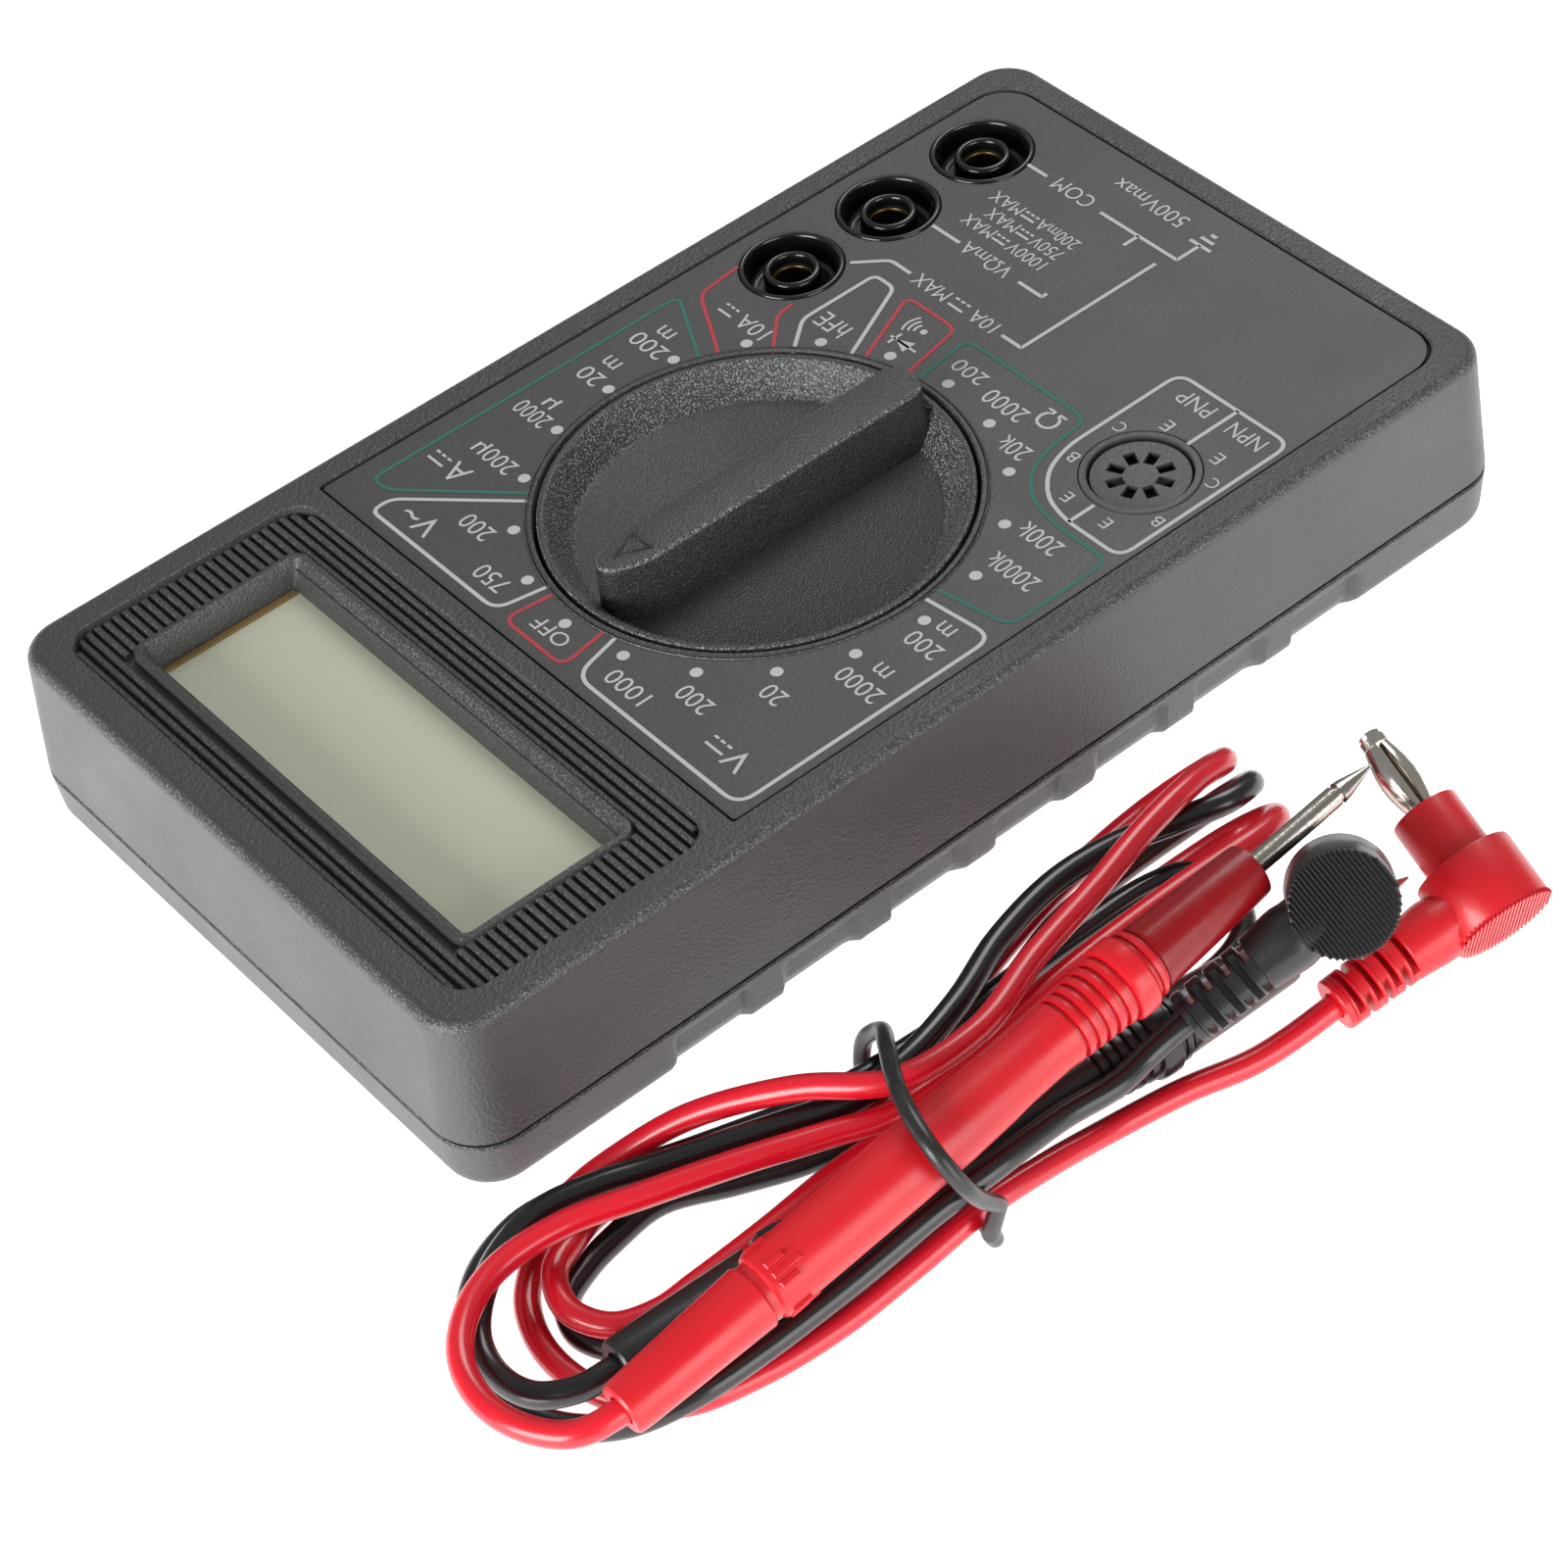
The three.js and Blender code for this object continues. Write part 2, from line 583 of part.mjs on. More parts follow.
// A pan-head screw driven upwards, with a cross slot in its head.
function screw([x, y], headZ, headR, shankR, length) {
  const body = turned(
    [[0, headZ], [headR * 0.75, headZ], [headR, headZ + 0.7], [headR, headZ + 1.3], [shankR, headZ + 1.3],
      [shankR, headZ + length - 0.8], [0, headZ + length]],
    12,
    x,
    y,
  );
  const slot = (w, h) => box(x - w, x + w, y - h, y + h, headZ - 1, headZ + 0.6);
  return cut(body, slot(headR * 0.6, 0.28), slot(0.28, headR * 0.6));
}

// ---------------------------------------------------------------- selector knob

function knobBar() {
  const half = BAR_W / 2;
  const shape = new THREE.Shape();
  shape.moveTo(-half, BAR_TAIL_Y + 1.5);
  shape.quadraticCurveTo(-half, BAR_TAIL_Y, 0, BAR_TAIL_Y);
  shape.quadraticCurveTo(half, BAR_TAIL_Y, half, BAR_TAIL_Y + 1.5);
  shape.lineTo(half, BAR_TIP_Y - 4.4);
  shape.lineTo(1.3, BAR_TIP_Y - 0.5);
  shape.quadraticCurveTo(0, BAR_TIP_Y + 0.3, -1.3, BAR_TIP_Y - 0.5);
  shape.lineTo(-half, BAR_TIP_Y - 4.4);
  const geometry = slab(shape, FLANGE_Z0 + 1, KNOB_TOP_Z, 3);
  const p = geometry.attributes.position;
  for (let i = 0; i < p.count; i += 1) {
    const t = (KNOB_TOP_Z - p.getZ(i)) / (KNOB_TOP_Z - BOWL_FLOOR_Z);
    p.setX(i, p.getX(i) * (1 + t * (BAR_FOOT_W / BAR_W - 1)));
  }
  return solid(geometry.translate(0, DIAL_Y, 0));
}

function pointerMark() {
  const shape = new THREE.Shape();
  shape.moveTo(-1.3, 0);
  shape.lineTo(1.3, 0);
  shape.lineTo(0, 3);
  return slabAt(shape, 0, DIAL_Y + BAR_TIP_Y - 4.6, KNOB_TOP_Z - 0.3, KNOB_TOP_Z + 1);
}

function selectorKnob() {
  const rim = PANEL_Z + 0.25;
  const body = turned(
    [
      [0, FLANGE_Z0], [FLANGE_R, FLANGE_Z0], [FLANGE_R, FLANGE_Z1], [KNOB_R, FLANGE_Z1], [KNOB_R, rim - 0.2],
      [KNOB_R - 0.2, rim], [BOWL_R + 0.1, rim], [BOWL_R - 0.2, rim - 0.3],
      [BOWL_FLOOR_R + 0.3, BOWL_FLOOR_Z + 0.2],
      [BOWL_FLOOR_R - 0.2, BOWL_FLOOR_Z], [0, BOWL_FLOOR_Z],
    ],
    DIAL_SIDES,
    0,
    DIAL_Y,
  );
  const hub = cylinder(3.2, BOARD_Z0 - 0.6, FLANGE_Z0 + 1, 0, DIAL_Y, 20);
  const inside = cylinder(FLANGE_R - 0.01, FLANGE_Z0 + 0.5, KNOB_TOP_Z + 1, 0, DIAL_Y, DIAL_SIDES);
  const pockets = [-1, 1].map((side) => {
    const bore = new THREE.CylinderGeometry(BALL_R + GAP, BALL_R + GAP, 10, 14).rotateZ(Math.PI / 2);
    return solid(bore.translate(side * (FLANGE_R - 4), DIAL_Y, DETENT_Z));
  });
  return cut(joined(body, knobBar().intersect(inside), hub), pointerMark(), ...pockets);
}


function detentBall(side) {
  return solid(new THREE.SphereGeometry(BALL_R, 12, 8).translate(side * BALL_X, DIAL_Y, DETENT_Z));
}

function detentSpring(side) {
  const [turns, perTurn, r] = [3.5, 8, 0.9];
  const [x0, x1] = [14.2, BALL_X - BALL_R - GAP - 0.3];
  const points = [];
  for (let i = 0; i <= turns * perTurn; i += 1) {
    const angle = (2 * Math.PI * i) / perTurn;
    const x = x0 + ((x1 - x0) * i) / (turns * perTurn);
    points.push([side * x, DIAL_Y + r * Math.cos(angle), DETENT_Z + r * Math.sin(angle)]);
  }
  return tube(points, 0.22, 6, turns * perTurn);
}

// A bridge of spring metal under the knob that joins two tracks of the board.
function contactWiper(angle) {
  const shape = new THREE.Shape();
  const [top, low, t] = [FLANGE_Z0 - GAP, BOARD_Z1 + GAP, 0.3];
  shape.moveTo(7, top);
  shape.lineTo(9, low);
  shape.lineTo(12, low + 1.2);
  shape.lineTo(15, low);
  shape.lineTo(17, top);
  shape.lineTo(17 - t, top);
  shape.lineTo(15 - t * 0.5, low + t);
  shape.lineTo(12, low + 1.2 + t);
  shape.lineTo(9 + t * 0.5, low + t);
  shape.lineTo(7 + t, top);
  const geometry = new THREE.ExtrudeGeometry(shape, { depth: 1.4, bevelEnabled: false });
  geometry.rotateX(Math.PI / 2).translate(0, 0.7, 0).rotateZ(angle);
  return solid(geometry.translate(0, DIAL_Y, 0));
}

// ---------------------------------------------------------------- leads

const vec = (p) => new THREE.Vector3(...p);

// Where each probe lies: the middle of its rear end, and the way its needle points.
const PROBES = {
  red: { rear: [-66, 70.4, 9], towards: [-65, -14.6, 20.4] },
  black: { rear: [-60.6, 67, 6.4], towards: [-65.6, -18.8, 3.8] },
};

// Where each plug lies: the middle of its ribbed back, the way its pin points, and roughly
// where its strain relief ends.
const PLUGS = {
  red: { back: [-76.45, -19.84, 5.05], pin: [0.923, -0.13, 0.362], relief: [-71.1, -4, 3] },
  black: { back: [-73.77, -2.79, 18.43], pin: [0.64, -0.54, -0.55], relief: [-70.77, 9.41, 12.63] },
};

// The red cord: out of the probe, round the far loop, five times through the tie, to its plug.
const RED_ROUTE = [
  [-65.9, 65.6, 9.6], [-66, 70.6, 9], [-65, 74, 8.5], [-62, 76.2, 7.9], [-57.6, 77.4, 7.6],
  [-53.3, 76.8, 7.5], [-50.2, 75, 7.6], [-47.6, 71.6, 7.8], [-46.5, 67.4, 8], [-47.2, 61.5, 8.4],
  [-49.5, 55.7, 8.8], [-53, 46.5, 9], [-55.6, 40.2, 9], [-57.8, 34.4, 9], [-57.4, 26, 8.8],
  [-56.4, 16, 9], [-56, 7, 9], [-55.9, -2, 9], [-56, -9.2, 8.8], [-55, -12.9, 7.8],
  [-52.5, -14.5, 5.2], [-50, -12.9, 2.6], [-49, -9.2, 1.6], [-49, 0, 1.5], [-50.2, 8, 1.5],
  [-52.4, 16, 1.8], [-55, 22, 3.6], [-57.2, 28, 5.6], [-57.8, 33, 6.2], [-56.8, 40, 5.2],
  [-57, 48, 4.6], [-57, 56, 4.2], [-57, 60, 4.2], [-55.4, 63.8, 4.2], [-51.6, 65.4, 4.2],
  [-47.6, 63.8, 4.2], [-45.6, 60.4, 3.6], [-43.6, 56.8, 2], [-43, 52, 1.5], [-45.2, 46.8, 1.5],
  [-48.4, 41, 2.2], [-51.4, 33, 3.6], [-50, 27, 2.8], [-47.6, 20, 1.6], [-45, 12, 1.5],
  [-43, 4, 1.5], [-41.8, -4, 1.5], [-41.4, -9.6, 1.6], [-42.4, -13.6, 3], [-45, -15.3, 6.2],
  [-47.6, -13.5, 9.4], [-48.6, -9.2, 10.9], [-50.6, -1, 11.8], [-52.8, 6.6, 12], [-55.2, 16, 12.2],
  [-58.2, 25, 12.4], [-57.4, 33.6, 12.2], [-51, 39.4, 10.6], [-44.2, 46.2, 6.8], [-40.8, 52, 3.2],
  [-39.9, 56, 1.6], [-41.2, 60.2, 1.5], [-43.6, 63.4, 1.5], [-46.6, 66.4, 1.5], [-50.8, 68.2, 1.5],
  [-55.4, 68.4, 1.5], [-60, 67, 1.5], [-64, 63.4, 1.5], [-66, 57, 1.5], [-67, 49, 1.8],
  [-67.4, 41, 3], [-67.4, 33, 4], [-67.4, 26, 3.4], [-67.3, 19, 2], [-68.4, 11, 1.6],
  [-70, 5, 1.5], [-70.7, 0.9, 1.95], [-71.35, -4.6, 3.05], [-72.05, -10.2, 4.2],
];

// The black cord, likewise.
const BLACK_ROUTE = [
  [-60.9, 62, 6.2], [-60.6, 67, 6.4], [-60, 70.4, 6.2], [-57.4, 73.2, 5.4], [-53, 73.9, 4.6],
  [-49, 72.8, 4.6], [-46, 70.2, 5], [-43.8, 66.4, 5.6], [-43.2, 61.6, 6.4], [-44.4, 56.4, 6.5],
  [-46, 52, 6.3], [-48.4, 46.6, 6.8], [-51, 41.6, 7.6], [-53.9, 35.6, 8.6], [-53.9, 30, 8.8],
  [-51.8, 22, 8.6], [-48.6, 14.5, 8.2], [-46.8, 6, 8], [-47.4, -1, 8], [-49.6, -6.4, 8.6],
  [-51, -10.6, 8.9], [-50.3, -14.2, 7.9], [-48.1, -15.7, 5.2], [-46, -14.2, 2.6], [-45.2, -10.6, 1.5],
  [-45.3, -2, 1.5], [-46.2, 6, 1.5], [-48.4, 13, 1.5], [-50.8, 20, 1.7], [-53.2, 27, 2.6],
  [-54.2, 33, 3.5], [-52, 40, 2.4], [-49, 45.6, 1.7], [-46, 51.6, 1.5], [-46.4, 57, 1.5],
  [-47.3, 60.8, 1.5], [-48.9, 63.9, 1.5], [-52.3, 65.3, 1.5], [-55.7, 63.9, 1.5],
  [-57.4, 60.6, 1.5], [-58, 57, 1.5],
  [-57.8, 50, 1.5], [-56.6, 42, 2], [-57, 33, 3.5], [-57.6, 26, 2.4], [-58.6, 18, 1.5],
  [-59.8, 9, 1.5], [-60.4, -1.6, 2.4], [-59, -4.9, 3], [-55.6, -6.3, 3.9], [-52.2, -4.9, 4.6],
  [-50.8, -1.5, 4.6], [-50.4, 8, 4.6], [-50.8, 18, 5], [-51.2, 26, 6], [-51.2, 33, 6.6],
  [-49.6, 38.4, 5.8], [-47, 44, 4.8], [-44, 51.6, 4.3], [-42.2, 57.4, 4.3], [-41.2, 63, 3.9],
  [-42, 68, 2.4], [-45.6, 72, 1.5], [-50, 74.2, 1.5], [-55, 73.8, 1.5], [-59.4, 71.6, 1.5],
  [-63, 68.4, 2.4], [-65.4, 63.6, 3.8], [-66.4, 57, 4.7], [-67, 48, 6], [-67.3, 38, 7.6],
  [-67.6, 32, 8.2], [-67.2, 24, 7.8], [-67.6, 18, 7.5], [-67.3, 14, 7.9], [-67.75, 10, 9.35],
  [-68.5, 7.16, 10.75], [-69.25, 4.28, 12.17],
];

// The tie: a rubber band round the bundle, its two ends crossing at the outer side.
const TIE_ROUTE = [
  [-69.9, 34.8, 4], [-69.4, 34, 2.2], [-67, 33, 1.1], [-62, 32.2, 0.95], [-54, 31.4, 0.95],
  [-50.2, 31, 1], [-48.2, 30.4, 2.8], [-48.1, 29.8, 6.6], [-50.8, 29.8, 10.2], [-55, 32.4, 13.6],
  [-59.4, 35.2, 15.7], [-63, 37.2, 17.6], [-66, 38.4, 18.1], [-69.2, 39, 17.4], [-71.2, 38.2, 14.6],
  [-71, 36.4, 11], [-70.4, 34, 7.6], [-70.2, 32, 5],
];

// Turns a solid built about +Z, with its side towards +Y, so that +Z points along the axis and
// the side faces as nearly as it can towards the given direction.
function laid(manifold, at, axis, side) {
  const z = axis.clone().normalize();
  const y = side.clone().addScaledVector(z, -side.dot(z)).normalize();
  const x = y.clone().cross(z);
  const matrix = new THREE.Matrix4().makeBasis(x, y, z).setPosition(at);
  return solid(geometryOf(manifold).applyMatrix4(matrix));
}

// A moulded handle: smooth sleeve, collar, swelling body, waist with rings, finger guard, nose.
function probeHandle(color) {
  const { rear, towards } = PROBES[color];
  const ends = [[CORD_R + GAP, 6], [CORD_R + GAP, 0], [2.35, 0]];
  const sleeve = [[3.0, 14.4], [2.75, 14.7], [2.75, 15.3], [3.15, 15.6]];
  const body = [[3.3, 32], [3.3, 38], [2.8, 48]];
  const rings = [0, 1, 2].flatMap((i) =>
    [[2.6, 48.8 + 2.2 * i], [3.1, 49.6 + 2.2 * i], [3.1, 50.2 + 2.2 * i]]);
  const guard = [[3.3, 55.2], [3.7, 56.8], [3.7, 58.6], [2.7, 60.4]];
  const nose = [[2.7, 61], [2.25, HANDLE_LENGTH],
    [NEEDLE_R + GAP, HANDLE_LENGTH], [NEEDLE_R + GAP, HANDLE_LENGTH - 8]];
  const profile = [[0, 6], ...ends, ...sleeve, ...body, ...rings, ...guard, ...nose, [0, HANDLE_LENGTH - 8]];
  const axis = vec(towards).sub(vec(rear));
  return laid(turned(profile, 16), vec(rear), axis, new THREE.Vector3(0, 0, 1));
}

function probeNeedle(color) {
  const { rear, towards } = PROBES[color];
  const profile = [
    [0, HANDLE_LENGTH - 8 + GAP], [NEEDLE_R, HANDLE_LENGTH - 8 + GAP], [NEEDLE_R, PROBE_LENGTH - 3.4],
    [0.2, PROBE_LENGTH], [0, PROBE_LENGTH],
  ];
  const axis = vec(towards).sub(vec(rear));
  return laid(turned(profile, 10), vec(rear), axis, new THREE.Vector3(0, 0, 1));
}

// A right-angled plug: round head with a ribbed back, sleeve round the pin, strain relief.
function plugBody(color) {
  const head = turned(
    [[0, 0], [HEAD_R - 0.4, 0], [HEAD_R, 0.4], [HEAD_R, HEAD_L], [SLEEVE_R, HEAD_L],
      [SLEEVE_R - 0.1, HEAD_L + SLEEVE_L],
      [0, HEAD_L + SLEEVE_L]],
    20,
  );
  const grooves = [0, 1, 2].flatMap((i) => {
    const s = 9.9 + 1.9 * i;
    return [[2.65, s], [2.05, s + 0.05], [2.05, s + 0.75], [2.65, s + 0.8]];
  });
  const profile = [
    [0, 0], [2.9, 0], [2.9, 4.6], [3.05, 5.6], [2.7, 8.6], ...grooves,
      [2.6, RELIEF_L], [CORD_R + GAP, RELIEF_L],
    [CORD_R + GAP, RELIEF_L - RELIEF_BORE], [0, RELIEF_L - RELIEF_BORE],
  ];
  const lean = new THREE.Vector3(0, Math.cos(RELIEF_LEAN), -Math.sin(RELIEF_LEAN));
  const middle = new THREE.Vector3(0, 0, HEAD_L / 2);
  const relief = laid(turned(profile, 14), middle, lean, new THREE.Vector3(0, 0, 1));
  const bore = cylinder(PIN_ROOT_R + GAP, HEAD_L + SLEEVE_L - PIN_DEPTH, HEAD_L + SLEEVE_L + 1, 0, 0, 12);
  const whole = cut(joined(head, relief), bore);
  const { back, pin, relief: towards } = PLUGS[color];
  return laid(whole, vec(back), vec(pin), vec(towards).sub(vec(back)));
}


// A pin with four sprung leaves: narrow tip, swelling in the middle.
function plugPin(color) {
  const z0 = HEAD_L + SLEEVE_L;
  const body = turned(
    [[0, z0 - PIN_DEPTH + GAP], [PIN_ROOT_R, z0 - PIN_DEPTH + GAP], [PIN_ROOT_R, z0 + 0.5], [1.95, z0 + 2.4],
      [1.95, z0 + 4.6], [1.5, z0 + 6.6], [1.5, z0 + PIN_L - 0.5], [1, z0 + PIN_L], [0, z0 + PIN_L]],
    16,
  );
  const slots = [0, Math.PI / 2].map((turn) => {
    const slot = new THREE.BoxGeometry(6, 0.35, 4.4).translate(0, 0, z0 + 3.6).rotateZ(turn);
    return solid(slot);
  });
  const core = cylinder(0.9, z0, z0 + PIN_L - 1.6, 0, 0, 8);
  const { back, pin, relief } = PLUGS[color];
  return laid(joined(cut(body, ...slots), core), vec(back), vec(pin), vec(relief).sub(vec(back)));
}

function leadsGroup() {
  const group = new THREE.Group();
  const mats = { red: RED_PVC, black: BLACK_PVC };
  const routes = { red: RED_ROUTE, black: BLACK_ROUTE };
  Object.keys(mats).forEach((color) => {
    group.add(
      named(`lead_${color}`, tube(routes[color], CORD_R, CORD_SIDES, CORD_STEPS), mats[color]),
      named(`probe_handle_${color}`, probeHandle(color), mats[color]),
      named(`probe_needle_${color}`, probeNeedle(color), STEEL),
      named(`plug_body_${color}`, plugBody(color), mats[color]),
      named(`plug_pin_${color}`, plugPin(color), NICKEL),
    );
  });
  group.add(named("lead_tie", tube(TIE_ROUTE, TIE_R, 6, 36), BLACK_PVC));
  return group;
}

// ---------------------------------------------------------------- assembly

function caseGroup() {
  const group = new THREE.Group();
  group.add(
    named("front_shell", frontShell(), GREY_ABS),
    named("rear_cover", rearCover(), GREY_ABS),
    named("label_panel", labelPanel(), PANEL_GREY),
    named("lcd_glass", lcdGlass(), LCD_GLASS),
    named("lcd_holder", lcdHolder(), HOLDER_BLACK),
    named("zebra_strip", zebraStrip(), ZEBRA_PINK),
    named("circuit_board", circuitBoard(), BOARD_GREEN),
    named("transistor_socket", transistorSocket(), GLOSS_BLACK),
    named("battery_9v", battery(), BATTERY_BLUE),
    named("battery_snap", batterySnap(), EPOXY_BLACK),
    named("fuse", fuse(), FUSE_GLASS),
    named("shunt_wire", shuntWire(), STEEL),
    named("chip_blob", chipBlob(), EPOXY_BLACK),
    named("buzzer_disc", buzzerDisc(), BRASS),
  );
  Object.entries(JACK_YS).forEach(([label, y]) => {
    group.add(named(`jack_socket_${label}`, jackSocket(y), GLOSS_BLACK));
    group.add(named(`jack_contact_${label}`, jackContact(y), BRASS));
  });
  [-1, 1].forEach((side, i) => group.add(named(`fuse_clip_${i + 1}`, fuseClip(side), STEEL)));
  COVER_SCREWS.forEach((at, i) =>
    group.add(named(`cover_screw_${i + 1}`, screw(at, 0.9, 2.6, 0.9, 12), STEEL)));
  BOARD_SCREWS.forEach((at, i) => {
    group.add(named(`board_screw_${i + 1}`, screw(at, BOARD_Z0 - 1.6, 2.0, 0.6, 6.4), STEEL));
  });
  return group;
}

function knobGroup() {
  const group = new THREE.Group();
  group.add(named("selector_knob", selectorKnob(), KNOB_BLACK));
  [-1, 1].forEach((side, i) => {
    group.add(named(`detent_ball_${i + 1}`, detentBall(side), STEEL));
    group.add(named(`detent_spring_${i + 1}`, detentSpring(side), STEEL));
  });
  [0.5, 2.6, 4.7].forEach((angle, i) => {
    group.add(named(`contact_wiper_${i + 1}`, contactWiper(angle), BRASS));
  });
  return group;
}

const multimeter = new THREE.Group();
multimeter.add(caseGroup(), knobGroup(), leadsGroup());

export default multimeter;
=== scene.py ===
import math

import bpy
from mathutils import Matrix, Vector


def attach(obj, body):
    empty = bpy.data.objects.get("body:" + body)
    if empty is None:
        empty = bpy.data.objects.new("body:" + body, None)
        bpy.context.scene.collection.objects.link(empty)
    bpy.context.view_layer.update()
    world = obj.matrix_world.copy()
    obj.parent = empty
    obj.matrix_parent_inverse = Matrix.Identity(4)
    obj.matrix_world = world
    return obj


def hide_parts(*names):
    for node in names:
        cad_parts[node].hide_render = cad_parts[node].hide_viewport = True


# Pocket digital multimeter on its back, with its two test leads tied in a bundle beside it.
# Lengths are in millimetres in the CAD frame, and MM scales them when meshes are made. Z is up, +Y is the
# display's end and the leads lie on the -X side.

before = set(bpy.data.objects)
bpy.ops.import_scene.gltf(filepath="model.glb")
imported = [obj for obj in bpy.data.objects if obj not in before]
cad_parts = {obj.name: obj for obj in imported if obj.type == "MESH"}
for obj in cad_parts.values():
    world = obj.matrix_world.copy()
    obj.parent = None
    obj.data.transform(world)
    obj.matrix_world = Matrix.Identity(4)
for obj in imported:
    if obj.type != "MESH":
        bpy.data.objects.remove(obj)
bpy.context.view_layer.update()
MM = 0.001

# -------- sizes, as in the CAD part

CASE_W, CASE_L, CASE_H, CASE_R = 71.0, 126.0, 21.0, 5.2
PART_Z, SEAM = 6.6, 0.18  # height of the parting line and half its width
DRAFT, EDGE_R = 1.0, 1.2
FOOT_R, FOOT_DRAFT = 2.2, 0.6
PANEL_W, PANEL_Y0, PANEL_Y1, PANEL_R, PANEL_Z = 62.3, -58.7, 28.6, 4.0, 20.7
PANEL_FAR_R = 0.4  # the panel's corners next to the display
BEZEL_W, BEZEL_Y0, BEZEL_Y1, BEZEL_R = 62.3, 30.9, 58.3, 3.0
BEZEL_FLOOR_Z, BEZEL_RIB_Z, RIB_PITCH, RIB_W, RIB_COUNT = 19.6, 20.35, 1.054, 0.64, 26
FRAME_W, FRAME_H, WINDOW_W, WINDOW_H, WINDOW_Y = 51.8, 19.4, 49.4, 15.6, 44.7
LCD_Z = 17.3
DIAL_Y, KNOB_R, BOWL_R = 0.5, 20.7, 20.0
BOWL_FLOOR_R, BOWL_FLOOR_Z, KNOB_TOP_Z = 17.4, 17.7, 24.0
BAR_W, BAR_FOOT_W, BAR_TIP_Y, BAR_TAIL_Y = 5.2, 6.8, 18.3, -19.7
JACK_X, JACK_YS, JACK_R = 24.2, {"com": -49.2, "vma": -36.6, "10a": -24.0}, 5.3
SOCKET_X, SOCKET_Y, SOCKET_R = -23.2, -26.8, 5.8
COVER_SCREWS = [(-28.6, 27.6), (28.6, 27.6)]
GRIP_YS = [-1.1 + 12.5 * i for i in range(-3, 4)]
GRIP_L, GRIP_TOP = 8.4, 5.2
EASE = 0.18  # the easing of the case's inner edges

CORD_R, TIE_R = 1.2, 0.8
PROBE_LENGTH, HANDLE_LENGTH, NEEDLE_R = 86.0, 72.0, 1.0
HEAD_R, HEAD_L, SLEEVE_R, SLEEVE_L = 4.8, 6.8, 3.25, 5.9
NECK_L, RELIEF_L, RELIEF_LEAN = 9.25, 16.8, math.radians(5)
PIN_L = 8.6
PROBES = {
    "red": {"rear": (-66, 70.4, 9), "towards": (-65, -14.6, 20.4)},
    "black": {"rear": (-60.6, 67, 6.4), "towards": (-65.6, -18.8, 3.8)},
}
PLUGS = {
    "red": {"back": (-76.45, -19.84, 5.05), "pin": (0.923, -0.13, 0.362), "relief": (-71.1, -4, 3)},
    "black": {"back": (-73.77, -2.79, 18.43), "pin": (0.64, -0.54, -0.55), "relief": (-70.77, 9.41, 12.63)},
}
# The points that each cord and the tie pass through.
RED_ROUTE = [
    (-65.9, 65.6, 9.6), (-66, 70.6, 9), (-65, 74, 8.5), (-62, 76.2, 7.9), (-57.6, 77.4, 7.6),
    (-53.3, 76.8, 7.5), (-50.2, 75, 7.6), (-47.6, 71.6, 7.8), (-46.5, 67.4, 8), (-47.2, 61.5, 8.4),
    (-49.5, 55.7, 8.8), (-53, 46.5, 9), (-55.6, 40.2, 9), (-57.8, 34.4, 9), (-57.4, 26, 8.8),
    (-56.4, 16, 9), (-56, 7, 9), (-55.9, -2, 9), (-56, -9.2, 8.8), (-55, -12.9, 7.8),
    (-52.5, -14.5, 5.2), (-50, -12.9, 2.6), (-49, -9.2, 1.6), (-49, 0, 1.5), (-50.2, 8, 1.5),
    (-52.4, 16, 1.8), (-55, 22, 3.6), (-57.2, 28, 5.6), (-57.8, 33, 6.2), (-56.8, 40, 5.2),
    (-57, 48, 4.6), (-57, 56, 4.2), (-57, 60, 4.2), (-55.4, 63.8, 4.2), (-51.6, 65.4, 4.2),
    (-47.6, 63.8, 4.2), (-45.6, 60.4, 3.6), (-43.6, 56.8, 2), (-43, 52, 1.5), (-45.2, 46.8, 1.5),
    (-48.4, 41, 2.2), (-51.4, 33, 3.6), (-50, 27, 2.8), (-47.6, 20, 1.6), (-45, 12, 1.5),
    (-43, 4, 1.5), (-41.8, -4, 1.5), (-41.4, -9.6, 1.6), (-42.4, -13.6, 3), (-45, -15.3, 6.2),
    (-47.6, -13.5, 9.4), (-48.6, -9.2, 10.9), (-50.6, -1, 11.8), (-52.8, 6.6, 12), (-55.2, 16, 12.2),
    (-58.2, 25, 12.4), (-57.4, 33.6, 12.2), (-51, 39.4, 10.6), (-44.2, 46.2, 6.8), (-40.8, 52, 3.2),
    (-39.9, 56, 1.6), (-41.2, 60.2, 1.5), (-43.6, 63.4, 1.5), (-46.6, 66.4, 1.5), (-50.8, 68.2, 1.5),
    (-55.4, 68.4, 1.5), (-60, 67, 1.5), (-64, 63.4, 1.5), (-66, 57, 1.5), (-67, 49, 1.8),
    (-67.4, 41, 3), (-67.4, 33, 4), (-67.4, 26, 3.4), (-67.3, 19, 2), (-68.4, 11, 1.6),
    (-70, 5, 1.5), (-70.7, 0.9, 1.95), (-71.35, -4.6, 3.05), (-72.05, -10.2, 4.2),
]

